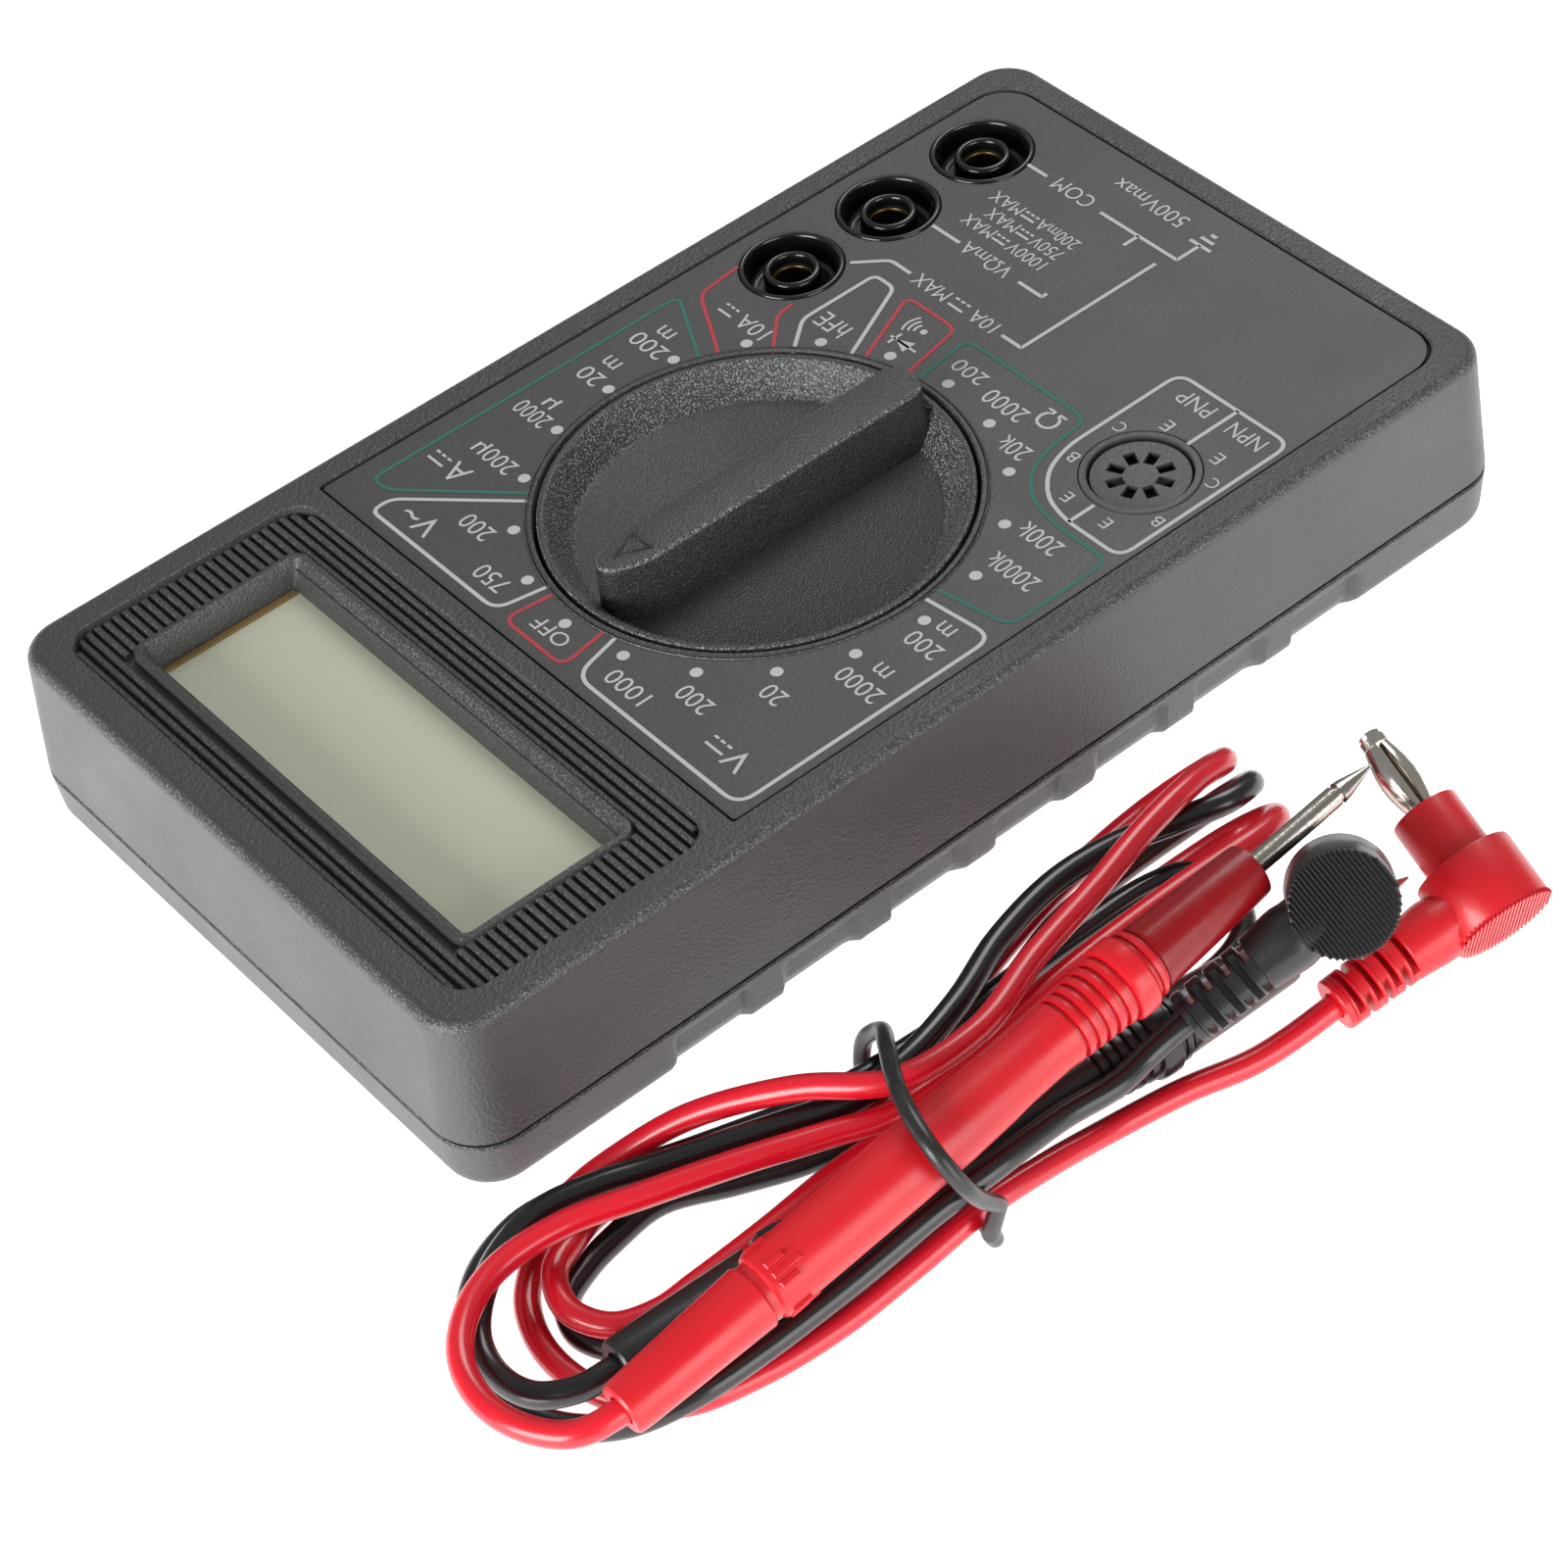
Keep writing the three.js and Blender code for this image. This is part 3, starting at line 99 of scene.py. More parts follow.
BLACK_ROUTE = [
    (-60.9, 62, 6.2), (-60.6, 67, 6.4), (-60, 70.4, 6.2), (-57.4, 73.2, 5.4), (-53, 73.9, 4.6),
    (-49, 72.8, 4.6), (-46, 70.2, 5), (-43.8, 66.4, 5.6), (-43.2, 61.6, 6.4), (-44.4, 56.4, 6.5),
    (-46, 52, 6.3), (-48.4, 46.6, 6.8), (-51, 41.6, 7.6), (-53.9, 35.6, 8.6), (-53.9, 30, 8.8),
    (-51.8, 22, 8.6), (-48.6, 14.5, 8.2), (-46.8, 6, 8), (-47.4, -1, 8), (-49.6, -6.4, 8.6),
    (-51, -10.6, 8.9), (-50.3, -14.2, 7.9), (-48.1, -15.7, 5.2), (-46, -14.2, 2.6), (-45.2, -10.6, 1.5),
    (-45.3, -2, 1.5), (-46.2, 6, 1.5), (-48.4, 13, 1.5), (-50.8, 20, 1.7), (-53.2, 27, 2.6),
    (-54.2, 33, 3.5), (-52, 40, 2.4), (-49, 45.6, 1.7), (-46, 51.6, 1.5), (-46.4, 57, 1.5),
    (-47.3, 60.8, 1.5), (-48.9, 63.9, 1.5), (-52.3, 65.3, 1.5), (-55.7, 63.9, 1.5),
    (-57.4, 60.6, 1.5), (-58, 57, 1.5),
    (-57.8, 50, 1.5), (-56.6, 42, 2), (-57, 33, 3.5), (-57.6, 26, 2.4), (-58.6, 18, 1.5),
    (-59.8, 9, 1.5), (-60.4, -1.6, 2.4), (-59, -4.9, 3), (-55.6, -6.3, 3.9), (-52.2, -4.9, 4.6),
    (-50.8, -1.5, 4.6), (-50.4, 8, 4.6), (-50.8, 18, 5), (-51.2, 26, 6), (-51.2, 33, 6.6),
    (-49.6, 38.4, 5.8), (-47, 44, 4.8), (-44, 51.6, 4.3), (-42.2, 57.4, 4.3), (-41.2, 63, 3.9),
    (-42, 68, 2.4), (-45.6, 72, 1.5), (-50, 74.2, 1.5), (-55, 73.8, 1.5), (-59.4, 71.6, 1.5),
    (-63, 68.4, 2.4), (-65.4, 63.6, 3.8), (-66.4, 57, 4.7), (-67, 48, 6), (-67.3, 38, 7.6),
    (-67.6, 32, 8.2), (-67.2, 24, 7.8), (-67.6, 18, 7.5), (-67.3, 14, 7.9), (-67.75, 10, 9.35),
    (-68.5, 7.16, 10.75), (-69.25, 4.28, 12.17),
]

TIE_ROUTE = [
    (-69.9, 34.8, 4), (-69.4, 34, 2.2), (-67, 33, 1.1), (-62, 32.2, 0.95), (-54, 31.4, 0.95),
    (-50.2, 31, 1), (-48.2, 30.4, 2.8), (-48.1, 29.8, 6.6), (-50.8, 29.8, 10.2), (-55, 32.4, 13.6),
    (-59.4, 35.2, 15.7), (-63, 37.2, 17.6), (-66, 38.4, 18.1), (-69.2, 39, 17.4), (-71.2, 38.2, 14.6),
    (-71, 36.4, 11), (-70.4, 34, 7.6),
]

# -------- camera

CAM_AT = Vector((-249.95, 170.61, 284.25)) * MM
CAM_RIGHT = Vector((-0.6356, -0.7657, -0.0987))
CAM_BACK = Vector((-0.587, 0.3963, 0.706))
LENS_MM, SENSOR_MM = 98.48, 36.0
CLIP_NEAR, CLIP_FAR = 0.01, 20.0  # metres


def placed(name, data):
    """A new object in the scene."""
    obj = bpy.data.objects.new(name, data)
    bpy.context.collection.objects.link(obj)
    return obj


def make_camera():
    data = bpy.data.cameras.new("camera")
    data.lens = LENS_MM
    data.sensor_width = SENSOR_MM
    data.clip_start = CLIP_NEAR
    data.clip_end = CLIP_FAR
    cam = placed("camera", data)
    back = CAM_BACK.normalized()
    right = (CAM_RIGHT - back * CAM_RIGHT.dot(back)).normalized()
    up = back.cross(right)
    turn = Matrix((right, up, back)).transposed().to_4x4()
    cam.matrix_world = Matrix.Translation(CAM_AT) @ turn
    bpy.context.scene.camera = cam


make_camera()

# -------- materials

BUMP_DEPTH = 0.13
CLOUD_SCALE = 90.0  # the mottled roughness, per metre
# painted glint: light grey dots of this size, painted into the colour of sloping faces
PAINTED_GLINT_MM, PAINTED_GLINT_COLOUR = 0.17, (0.42, 0.42, 0.43)
COAT_ROUGH = 0.12


def noise(tree, scale, detail):
    """A socket holding noise of the given scale, per metre of the object."""
    node = tree.nodes.new("ShaderNodeTexNoise")
    node.inputs["Scale"].default_value = scale
    node.inputs["Detail"].default_value = detail
    tree.links.new(tree.nodes.new("ShaderNodeTexCoord").outputs["Object"], node.inputs["Vector"])
    return node.outputs["Fac"]


def ranged(tree, value, low, high, to_low, to_high):
    """A socket holding value mapped from low..high to to_low..to_high."""
    node = tree.nodes.new("ShaderNodeMapRange")
    for label, number in (("From Min", low), ("From Max", high), ("To Min", to_low), ("To Max", to_high)):
        node.inputs[label].default_value = number
    tree.links.new(value, node.inputs["Value"])
    return node.outputs["Result"]


def product(tree, first, second):
    """A socket holding first times second."""
    node = tree.nodes.new("ShaderNodeMath")
    node.operation = "MULTIPLY"
    tree.links.new(first, node.inputs[0])
    tree.links.new(second, node.inputs[1])
    return node.outputs["Value"]


def blended(tree, factor, first, second):
    """A socket holding first mixed with the colour second; first is a colour or a socket."""
    node = tree.nodes.new("ShaderNodeMix")
    node.data_type = "RGBA"
    tree.links.new(factor, node.inputs["Factor"])
    if isinstance(first, tuple):
        node.inputs["A"].default_value = (*first, 1)
    else:
        tree.links.new(first, node.inputs["A"])
    node.inputs["B"].default_value = (*second, 1)
    return node.outputs["Result"]


def material(name, color, rough, metallic=0.0, coat=0.0, grain=0.0, grain_mm=0.5, speck=0.0, spec=0.5,
             painted_glint=0.0, painted_wall_shading=1.0):
    """A procedural surface with mottled roughness (speck) and a fine moulded grain.

    The glint amount paints light grey dots on sloping faces (a painted glint); the wall factor scales the
    colour of upright faces (painted light above 1, painted shade below 1).
    """
    mat = bpy.data.materials.new(name)
    mat.use_nodes = True
    tree = mat.node_tree
    shader = tree.nodes["Principled BSDF"]
    looks = (("Base Color", (*color, 1)), ("Roughness", rough), ("Metallic", metallic),
             ("Coat Weight", coat), ("Coat Roughness", COAT_ROUGH), ("Specular IOR Level", spec))
    for label, value in looks:
        shader.inputs[label].default_value = value
    if speck:
        uneven = ranged(tree, noise(tree, CLOUD_SCALE, 6.0), 0.3, 0.7, rough - speck, rough + speck)
        tree.links.new(uneven, shader.inputs["Roughness"])
    if grain:
        bump = tree.nodes.new("ShaderNodeBump")
        bump.inputs["Strength"].default_value = grain
        bump.inputs["Distance"].default_value = BUMP_DEPTH * MM
        tree.links.new(noise(tree, 1.0 / (grain_mm * MM), 3.0), bump.inputs["Height"])
        tree.links.new(bump.outputs["Normal"], shader.inputs["Normal"])
    if painted_glint:
        # painted glints on sloping faces and painted light and shade on upright ones, all put into the base
        # colour
        facing = tree.nodes.new("ShaderNodeSeparateXYZ")
        tree.links.new(tree.nodes.new("ShaderNodeNewGeometry").outputs["Normal"], facing.inputs["Vector"])
        off_level = ranged(tree, facing.outputs["Z"], 0.97, 0.85, 0.0, painted_glint)
        off_upright = ranged(tree, facing.outputs["Z"], 0.2, 0.5, 0.12, 1.0)
        slope = product(tree, off_level, off_upright)
        glint_dots = ranged(tree, noise(tree, 1.0 / (PAINTED_GLINT_MM * MM), 1.0), 0.53, 0.64, 0.0, 1.0)
        # upright faces scaled by the wall factor: painted light on the case's sides, painted shade on the
        # knob's
        upright = ranged(tree, facing.outputs["Z"], 0.15, 0.45, 0.0, 1.0)
        painted_wall_colour = blended(tree, upright, tuple(c * painted_wall_shading for c in color), color)
        painted_glints = blended(tree, product(tree, slope, glint_dots), painted_wall_colour, PAINTED_GLINT_COLOUR)
        tree.links.new(painted_glints, shader.inputs["Base Color"])
    return mat


# The case's upright sides are painted lighter (painted light) and the knob's upright faces darker (painted
# shade); both get painted glints on sloping faces.
CASE = material("case", (0.042, 0.042, 0.044), 0.4, grain=1.0, grain_mm=0.34, speck=0.06, painted_glint=0.3,
                painted_wall_shading=1.52)
KNOB = material("knob", (0.04, 0.04, 0.042), 0.36, grain=1.0, grain_mm=0.26, speck=0.05, painted_glint=0.75,
                painted_wall_shading=0.4)
LABEL = material("label", (0.055, 0.055, 0.057), 0.45, grain=0.3, grain_mm=0.5, speck=0.04, spec=0.45)
# near-black painted shade, put in the seam, under the label's gap and down the jacks' and the socket's holes
PAINTED_GAP_SHADE = material("painted_gap_shade", (0.006, 0.006, 0.006), 0.8, grain=0.2)
PRINT_WHITE = material("print_white", (0.5, 0.5, 0.5), 0.6, grain=0.15, spec=0.3)
PRINT_RED = material("print_red", (0.42, 0.05, 0.06), 0.6, grain=0.15, spec=0.3)
PRINT_TEAL = material("print_teal", (0.035, 0.15, 0.12), 0.6, grain=0.15, spec=0.3)
GLOSS_BLACK = material("gloss_black", (0.004, 0.004, 0.004), 0.2, coat=0.2, grain=0.1, grain_mm=1.2)
# the pointer's moulded outline, darker than the knob: painted shade along the outline
PAINTED_MARK_SHADE = material("painted_mark_shade", (0.012, 0.012, 0.012), 0.5, grain=0.3)
SOCKET = material("socket_black", (0.05, 0.05, 0.052), 0.45, grain=0.4, speck=0.06)
LCD = material("lcd", (0.52, 0.535, 0.41), 0.4, grain=0.03, grain_mm=0.4, spec=0.3)
STRIP = material("lcd_edge", (0.2, 0.13, 0.04), 0.45, grain=0.3)
RED = material("red_pvc", (0.6, 0.005, 0.012), 0.36, coat=0.12, grain=0.16, grain_mm=0.9, speck=0.07)
BLACK = material("black_pvc", (0.012, 0.012, 0.013), 0.33, coat=0.12, grain=0.2, grain_mm=0.9, speck=0.06)
# the red probe's nose: the red moulding made darker, as painted shade
RED_NOSE_PAINTED_SHADE = material("red_nose_painted_shade", (0.24, 0.001, 0.004), 0.3, spec=0.35, coat=0.1, grain=0.16, grain_mm=0.9,
                    speck=0.07)
RED_CORD = material("red_cord", (0.68, 0.006, 0.02), 0.27, coat=0.3, grain=0.1, grain_mm=1.5, speck=0.05)
BLACK_CORD = material("black_cord", (0.008, 0.008, 0.009), 0.27, coat=0.25, grain=0.1, grain_mm=1.5,
                      speck=0.05)
TIE_BLACK = material("tie_black", (0.014, 0.014, 0.015), 0.36, coat=0.1, grain=0.3, grain_mm=0.6, speck=0.05)
NICKEL = material("nickel", (0.6, 0.56, 0.5), 0.2, metallic=1.0, grain=0.15, grain_mm=0.7, speck=0.08)
STEEL = material("steel", (0.56, 0.56, 0.56), 0.24, metallic=1.0, grain=0.15, grain_mm=0.5, speck=0.08)
NEEDLE = material("needle", (0.42, 0.39, 0.35), 0.22, metallic=1.0, grain=0.2, grain_mm=0.4, speck=0.08)
JACK_BRASS = material("jack_brass", (0.2, 0.13, 0.05), 0.35, metallic=1.0, grain=0.15, speck=0.06)
BRASS = material("brass", (0.78, 0.55, 0.22), 0.25, metallic=1.0, grain=0.15, speck=0.06)
BOARD = material("board", (0.03, 0.16, 0.06), 0.45, grain=0.4, speck=0.05)
HOLDER = material("holder", (0.4, 0.4, 0.38), 0.5, grain=0.4, speck=0.05)
ZEBRA = material("zebra", (0.6, 0.36, 0.4), 0.6, grain=0.4, speck=0.05)
CAN = material("battery_can", (0.03, 0.04, 0.09), 0.35, grain=0.3, speck=0.06)
EPOXY = material("epoxy", (0.01, 0.01, 0.01), 0.4, grain=0.4, speck=0.06)
FUSE_GLASS = material("fuse_glass", (0.7, 0.75, 0.74), 0.1, grain=0.05, speck=0.03)
FLOOR = material("floor", (0.93, 0.93, 0.93), 0.6, speck=0.02)
glow = FLOOR.node_tree.nodes["Principled BSDF"].inputs
glow["Emission Color"].default_value = (1, 1, 1, 1)
glow["Emission Strength"].default_value = 1.0

# -------- mesh helpers


def finished(name, data, mat, soft_angle):
    """The mesh as an object of one material, smooth except where it turns sharply."""
    data.materials.clear()
    data.materials.append(mat)
    data.polygons.foreach_set("use_smooth", [True] * len(data.polygons))
    data.set_sharp_from_angle(angle=math.radians(soft_angle))
    return placed(name, data)


def meshed(name, curve, z=0.0):
    """The mesh of a curve or text, lifted to z."""
    temp = bpy.data.objects.new(name, curve)
    temp.location.z = z * MM
    bpy.context.collection.objects.link(temp)
    bpy.context.view_layer.update()
    graph = bpy.context.evaluated_depsgraph_get()
    data = bpy.data.meshes.new_from_object(temp.evaluated_get(graph))
    data.transform(temp.matrix_world)
    bpy.data.objects.remove(temp)
    return data


class Shape:
    """Vertices and faces gathered piece by piece."""

    def __init__(self):
        self.verts = []
        self.faces = []

    def add(self, verts, faces, matrix=None):
        start = len(self.verts)
        if matrix is not None:
            verts = [tuple(matrix @ Vector(v)) for v in verts]
        self.verts += [tuple(v) for v in verts]
        self.faces += [tuple(start + i for i in face) for face in faces]
        return self

    def loft(self, loops, first=False, last=False, matrix=None):
        """Closed loops of equal length, each joined to the next; the ends are capped if asked."""
        n = len(loops[0])
        verts = [v for loop in loops for v in loop]
        faces = []
        for k in range(len(loops) - 1):
            for i in range(n):
                j = (i + 1) % n
                faces.append((k * n + i, k * n + j, (k + 1) * n + j, (k + 1) * n + i))
        if first:
            faces.append(tuple(reversed(range(n))))
        if last:
            faces.append(tuple(range((len(loops) - 1) * n, len(loops) * n)))
        return self.add(verts, faces, matrix)

    def turned(self, profile, sides=48, matrix=None, x=0.0, y=0.0):
        """A profile of (radius, height) turned about +Z; a zero radius caps the ring next to it."""
        rings = [at(circle(r, x, y, sides), z) for r, z in profile if r]
        return self.loft(rings, profile[0][0] == 0, profile[-1][0] == 0, matrix)

    def box(self, x0, x1, y0, y1, z0, z1, ease=0.0, matrix=None):
        """A box whose top edges are eased by the given amount."""
        low = [(x0, y0, z0), (x1, y0, z0), (x1, y1, z0), (x0, y1, z0)]
        mid = [(x, y, z1 - ease) for x, y, _ in low]
        e = ease
        top = [(x0 + e, y0 + e, z1), (x1 - e, y0 + e, z1), (x1 - e, y1 - e, z1), (x0 + e, y1 - e, z1)]
        return self.loft([low, mid, top] if ease else [low, top], True, True, matrix)

    def object(self, name, mat, body, soft_angle=35.0):
        data = bpy.data.meshes.new(name)
        data.from_pydata([(x * MM, y * MM, z * MM) for x, y, z in self.verts], [], self.faces)
        data.validate()
        data.update()
        obj = finished(name, data, mat, soft_angle)
        if body:
            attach(obj, body)
        return obj


def rounded(w, h, r, x=0.0, y=0.0, arc=8, step=0.0, far_r=None):
    """A rounded rectangle as a loop of (x, y), its straight sides divided if step is given.

    Its two corners at +Y have the radius far_r, if that is given.
    """
    loop = []
    for k, (sx, sy) in enumerate([(1, 1), (-1, 1), (-1, -1), (1, -1)]):
        corner = max(far_r if far_r and sy > 0 else r, 0.02)
        cx, cy = x + sx * (w / 2 - corner), y + sy * (h / 2 - corner)
        for i in range(arc + 1):
            a = math.pi / 2 * (k + i / arc)
            loop.append((cx + corner * math.cos(a), cy + corner * math.sin(a)))
    if not step:
        return loop
    # the same number of divisions on every loop, whatever its size
    dense = []
    for i, p in enumerate(loop):
        q = loop[(i + 1) % len(loop)]
        dense.append(p)
        if i % (arc + 1) == arc:
            along_y = (i // (arc + 1)) % 2 == 1
            n = int((CASE_L if along_y else CASE_W) / step)
            dense += [(p[0] + (q[0] - p[0]) * j / n, p[1] + (q[1] - p[1]) * j / n) for j in range(1, n)]
    return dense


def circle(r, x, y, sides=48):
    """A circle as a loop of (x, y)."""
    angles = [2 * math.pi * i / sides for i in range(sides)]
    return [(x + r * math.cos(a), y + r * math.sin(a)) for a in angles]


def at(loop, z):
    """The flat loop at height z."""
    return [(x, y, z) for x, y in loop]


def plate(name, outer, holes, z, thick, mat, body, bevel=0.0):
    """A flat plate with holes, as a mesh from a filled 2-D outline."""
    curve = bpy.data.curves.new(name, "CURVE")
    curve.dimensions = "2D"
    curve.fill_mode = "BOTH"
    curve.extrude = thick / 2 * MM - bevel * MM
    curve.bevel_depth = bevel * MM
    curve.bevel_resolution = 1
    for loop in [outer, *holes]:
        spline = curve.splines.new("POLY")
        spline.points.add(len(loop) - 1)
        for point, (x, y) in zip(spline.points, loop):
            point.co = (x * MM, y * MM, 0, 1)
        spline.use_cyclic_u = True
    obj = finished(name, meshed(name, curve, z - thick / 2), mat, 30.0)
    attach(obj, body)
    return obj


def tube(name, points, radius, rounds, mat, closed=False):
    """A round bar along the points, as a curve of one spline."""
    curve = bpy.data.curves.new(name, "CURVE")
    curve.dimensions = "3D"
    curve.bevel_depth = radius * MM
    curve.bevel_resolution = rounds
    curve.use_fill_caps = True
    spline = curve.splines.new("POLY")
    spline.points.add(len(points) - 1)
    for point, (x, y, z) in zip(spline.points, points):
        point.co = (x * MM, y * MM, z * MM, 1)
    spline.use_smooth = True
    spline.use_cyclic_u = closed
    curve.materials.append(mat)
    return placed(name, curve)


# -------- case

# The collar round the knob, as (radius, height).
COLLAR = [
    (21.92, 20.4), (21.9, 20.76), (21.82, 20.86), (21.74, 20.82), (21.7, 20.6), (21.64, 20.6), (21.6, 20.9),
    (21.4, 20.98), (21.2, 20.94), (21.07, 20.75), (21.05, 17),
]
# The frame round the window, from its outer foot over the top to the display: (width, height, corner, z).
FRAME_STEPS = [
    (FRAME_W, FRAME_H, 1.6, BEZEL_FLOOR_Z - 0.2), (FRAME_W, FRAME_H, 1.6, PANEL_Z - 0.2),
    (FRAME_W - 0.12, FRAME_H - 0.12, 1.55, PANEL_Z - 0.06), (FRAME_W - 0.4, FRAME_H - 0.4, 1.4, PANEL_Z),
    (FRAME_W - 1.1, FRAME_H - 1.2, 1.1, PANEL_Z), (FRAME_W - 1.4, FRAME_H - 1.6, 1.0, PANEL_Z - 0.15),
    (WINDOW_W, WINDOW_H, 0.3, LCD_Z + 0.7), (WINDOW_W, WINDOW_H, 0.3, LCD_Z - 0.1),
]


def case_outline(inset):
    return rounded(CASE_W - 2 * inset, CASE_L - 2 * inset, CASE_R - inset * 0.8, arc=10)


def panel_outline(extra, r):
    """The label's outline, nearly square at the two corners next to the display."""
    middle = (PANEL_Y0 + PANEL_Y1) / 2
    return rounded(PANEL_W + extra, PANEL_Y1 - PANEL_Y0 + extra, r, 0, middle, far_r=PANEL_FAR_R)


def bezel_outline(grow):
    middle = (BEZEL_Y0 + BEZEL_Y1) / 2
    return rounded(BEZEL_W + 2 * grow, BEZEL_Y1 - BEZEL_Y0 + 2 * grow, BEZEL_R + grow, 0, middle)


def build_front():
    """The front shell: its sides, the wells of the label and the display, the ribs and the collar."""
    shell = Shape()
    heights = [(PART_Z + SEAM, 0.22), (PART_Z + SEAM + 0.2, 0.02)]
    side_foot, side_top = PART_Z + 0.6, CASE_H - EDGE_R
    for i in range(7):
        z = side_foot + (side_top - side_foot) * i / 6
        heights.append((z, DRAFT * (z - PART_Z) / (CASE_H - PART_Z)))
    for i in range(1, 9):
        a = math.pi / 2 * i / 8
        heights.append((side_top + EDGE_R * math.sin(a), DRAFT * 0.93 + EDGE_R * (1 - math.cos(a))))
    shell.loft([at(case_outline(inset), z) for z, inset in heights])

    panel, panel_eased = panel_outline(0.5, PANEL_R), panel_outline(0.5 + 2 * EASE, PANEL_R + EASE)
    bezel, bezel_eased = bezel_outline(0), bezel_outline(EASE)
    rib_foot = BEZEL_FLOOR_Z - 0.2
    shell.loft([at(panel_eased, CASE_H), at(panel, CASE_H - EASE), at(panel, PANEL_Z - 1)])
    shell.loft([at(bezel_eased, CASE_H), at(bezel, CASE_H - EASE), at(bezel, rib_foot)])
    shell.loft([at(rounded(w, h, r, 0, WINDOW_Y), z) for w, h, r, z in FRAME_STEPS])
    for i in range(RIB_COUNT):
        y = BEZEL_Y0 + (i + 0.5) * RIB_PITCH
        y0, y1 = y - RIB_W / 2, y + RIB_W / 2
        end = BEZEL_W / 2 - 0.05
        near = min(y0 - BEZEL_Y0, BEZEL_Y1 - y1)
        if near < BEZEL_R:
            end -= BEZEL_R - math.sqrt(max(BEZEL_R**2 - (BEZEL_R - near) ** 2, 0))
        beside_frame = abs(y - WINDOW_Y) < FRAME_H / 2 + RIB_W / 2
        gap = FRAME_W / 2 - 0.1
        for x0, x1 in [(-end, -gap), (gap, end)] if beside_frame else [(-end, end)]:
            shell.box(x0, x1, y0, y1, rib_foot, BEZEL_RIB_Z, 0.14)
    shell.turned(COLLAR, 96, y=DIAL_Y)
    body = shell.object("shell_front", CASE, "case")
    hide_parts("front_shell")
    rim = case_outline(heights[-1][1])
    top = plate("shell_face", rim, [panel_eased, bezel_eased], CASE_H, 0.6, CASE, "case")
    window = rounded(WINDOW_W + 1, WINDOW_H + 1, 0.5, 0, WINDOW_Y)
    floor = plate("bezel_floor", bezel_outline(0.1), [window], BEZEL_FLOOR_Z, 0.5, CASE, "case")


def build_rear():
    """The rear cover: a rounded tray with seven thumb grips cut into each long side."""
    foot_angles = [math.pi / 2 * i / 8 for i in range(9)]
    heights = [(round(FOOT_R * (1 - math.cos(a)), 4), round(FOOT_R * (1 - math.sin(a)), 4))
               for a in foot_angles]
    side_top = PART_Z - SEAM - 0.2
    heights += [(FOOT_R + (side_top - FOOT_R) * i / 9, 0.0) for i in range(1, 10)]
    heights.append((PART_Z - SEAM, 0.22))
    loops = []
    for z, inset in heights:
        total = inset + FOOT_DRAFT * max(0.0, 1 - z / PART_Z)
        outline = rounded(CASE_W - 2 * total, CASE_L - 2 * total, max(CASE_R - total, 1.2), arc=10, step=0.6)
        deep = 0.8 + 0.4 * (GRIP_TOP - z) / 3.2 if z > 2 else 1.2 + 0.6 * (2 - z)
        limit = CASE_W / 2 - deep
        loop = []
        for x, y in outline:
            grip = 0.0  # how far this point moves in to the grip's floor, from 0 to 1
            if abs(x) > CASE_W / 2 - 6 and abs(y) < CASE_L / 2 - 8:
                near = min(abs(y - g) for g in GRIP_YS)
                across = min(1.0, max(0.0, (GRIP_L / 2 + 0.25 - near) / 0.5))
                up = min(1.0, max(0.0, (GRIP_TOP + 0.2 - z) / 0.4))
                grip = across * up
            if abs(x) > limit:
                x = math.copysign(abs(x) + (limit - abs(x)) * grip, x)
            loop.append((x, y, z))
        loops.append(loop)
    shell = Shape().loft(loops)
    for x, y in COVER_SCREWS:
        shell.turned([(3.3, 0.02), (3.0, 0.25), (3.0, 2.6), (0, 2.6)], 32, x=x, y=y)
    body = shell.object("shell_rear", CASE, "case")
    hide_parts("rear_cover")
    rim = [(x, y) for x, y, _ in loops[0]]
    holes = [circle(3.3, x, y, 32) for x, y in COVER_SCREWS]
    under = plate("shell_underside", rim, holes, 0.2, 0.2, CASE, "case")
    inner = rounded(CASE_W - 0.7, CASE_L - 0.7, CASE_R - 0.3, arc=10)
    # a near-black band behind the parting line: painted shade in the seam
    seam_shade_band = Shape().loft([at(inner, PART_Z - 0.4), at(inner, PART_Z + 0.4)])
    seam_shade_band.object("seam", PAINTED_GAP_SHADE, "case")


build_front()
build_rear()

# -------- display

GLASS_W, GLASS_H, GLASS_T = 50.4, 17.2, 1.6


def build_display():
    """The display's glass and the amber edge seal at one end of it."""
    half_w, half_h = GLASS_W / 2, GLASS_H / 2
    glass = Shape().box(-half_w, half_w, WINDOW_Y - half_h, WINDOW_Y + half_h, LCD_Z - GLASS_T, LCD_Z, 0.05)
    obj = glass.object("lcd", LCD, "case")
    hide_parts("lcd_glass")
    x, y0, y1 = WINDOW_W / 2 - 0.05, WINDOW_Y - 7.6, WINDOW_Y + 7.6
    strip = Shape().box(x - 0.7, x, y0, y1, LCD_Z, LCD_Z + 0.25, 0.05)
    strip.object("lcd_edge_seal", STRIP, "case")


build_display()

# -------- label and its printing

LABEL_T, LABEL_HOLE_R, HOLE_GAP = 0.35, 21.95, 0.12
INK_Z = PANEL_Z + 0.035
LINE_W = 0.42


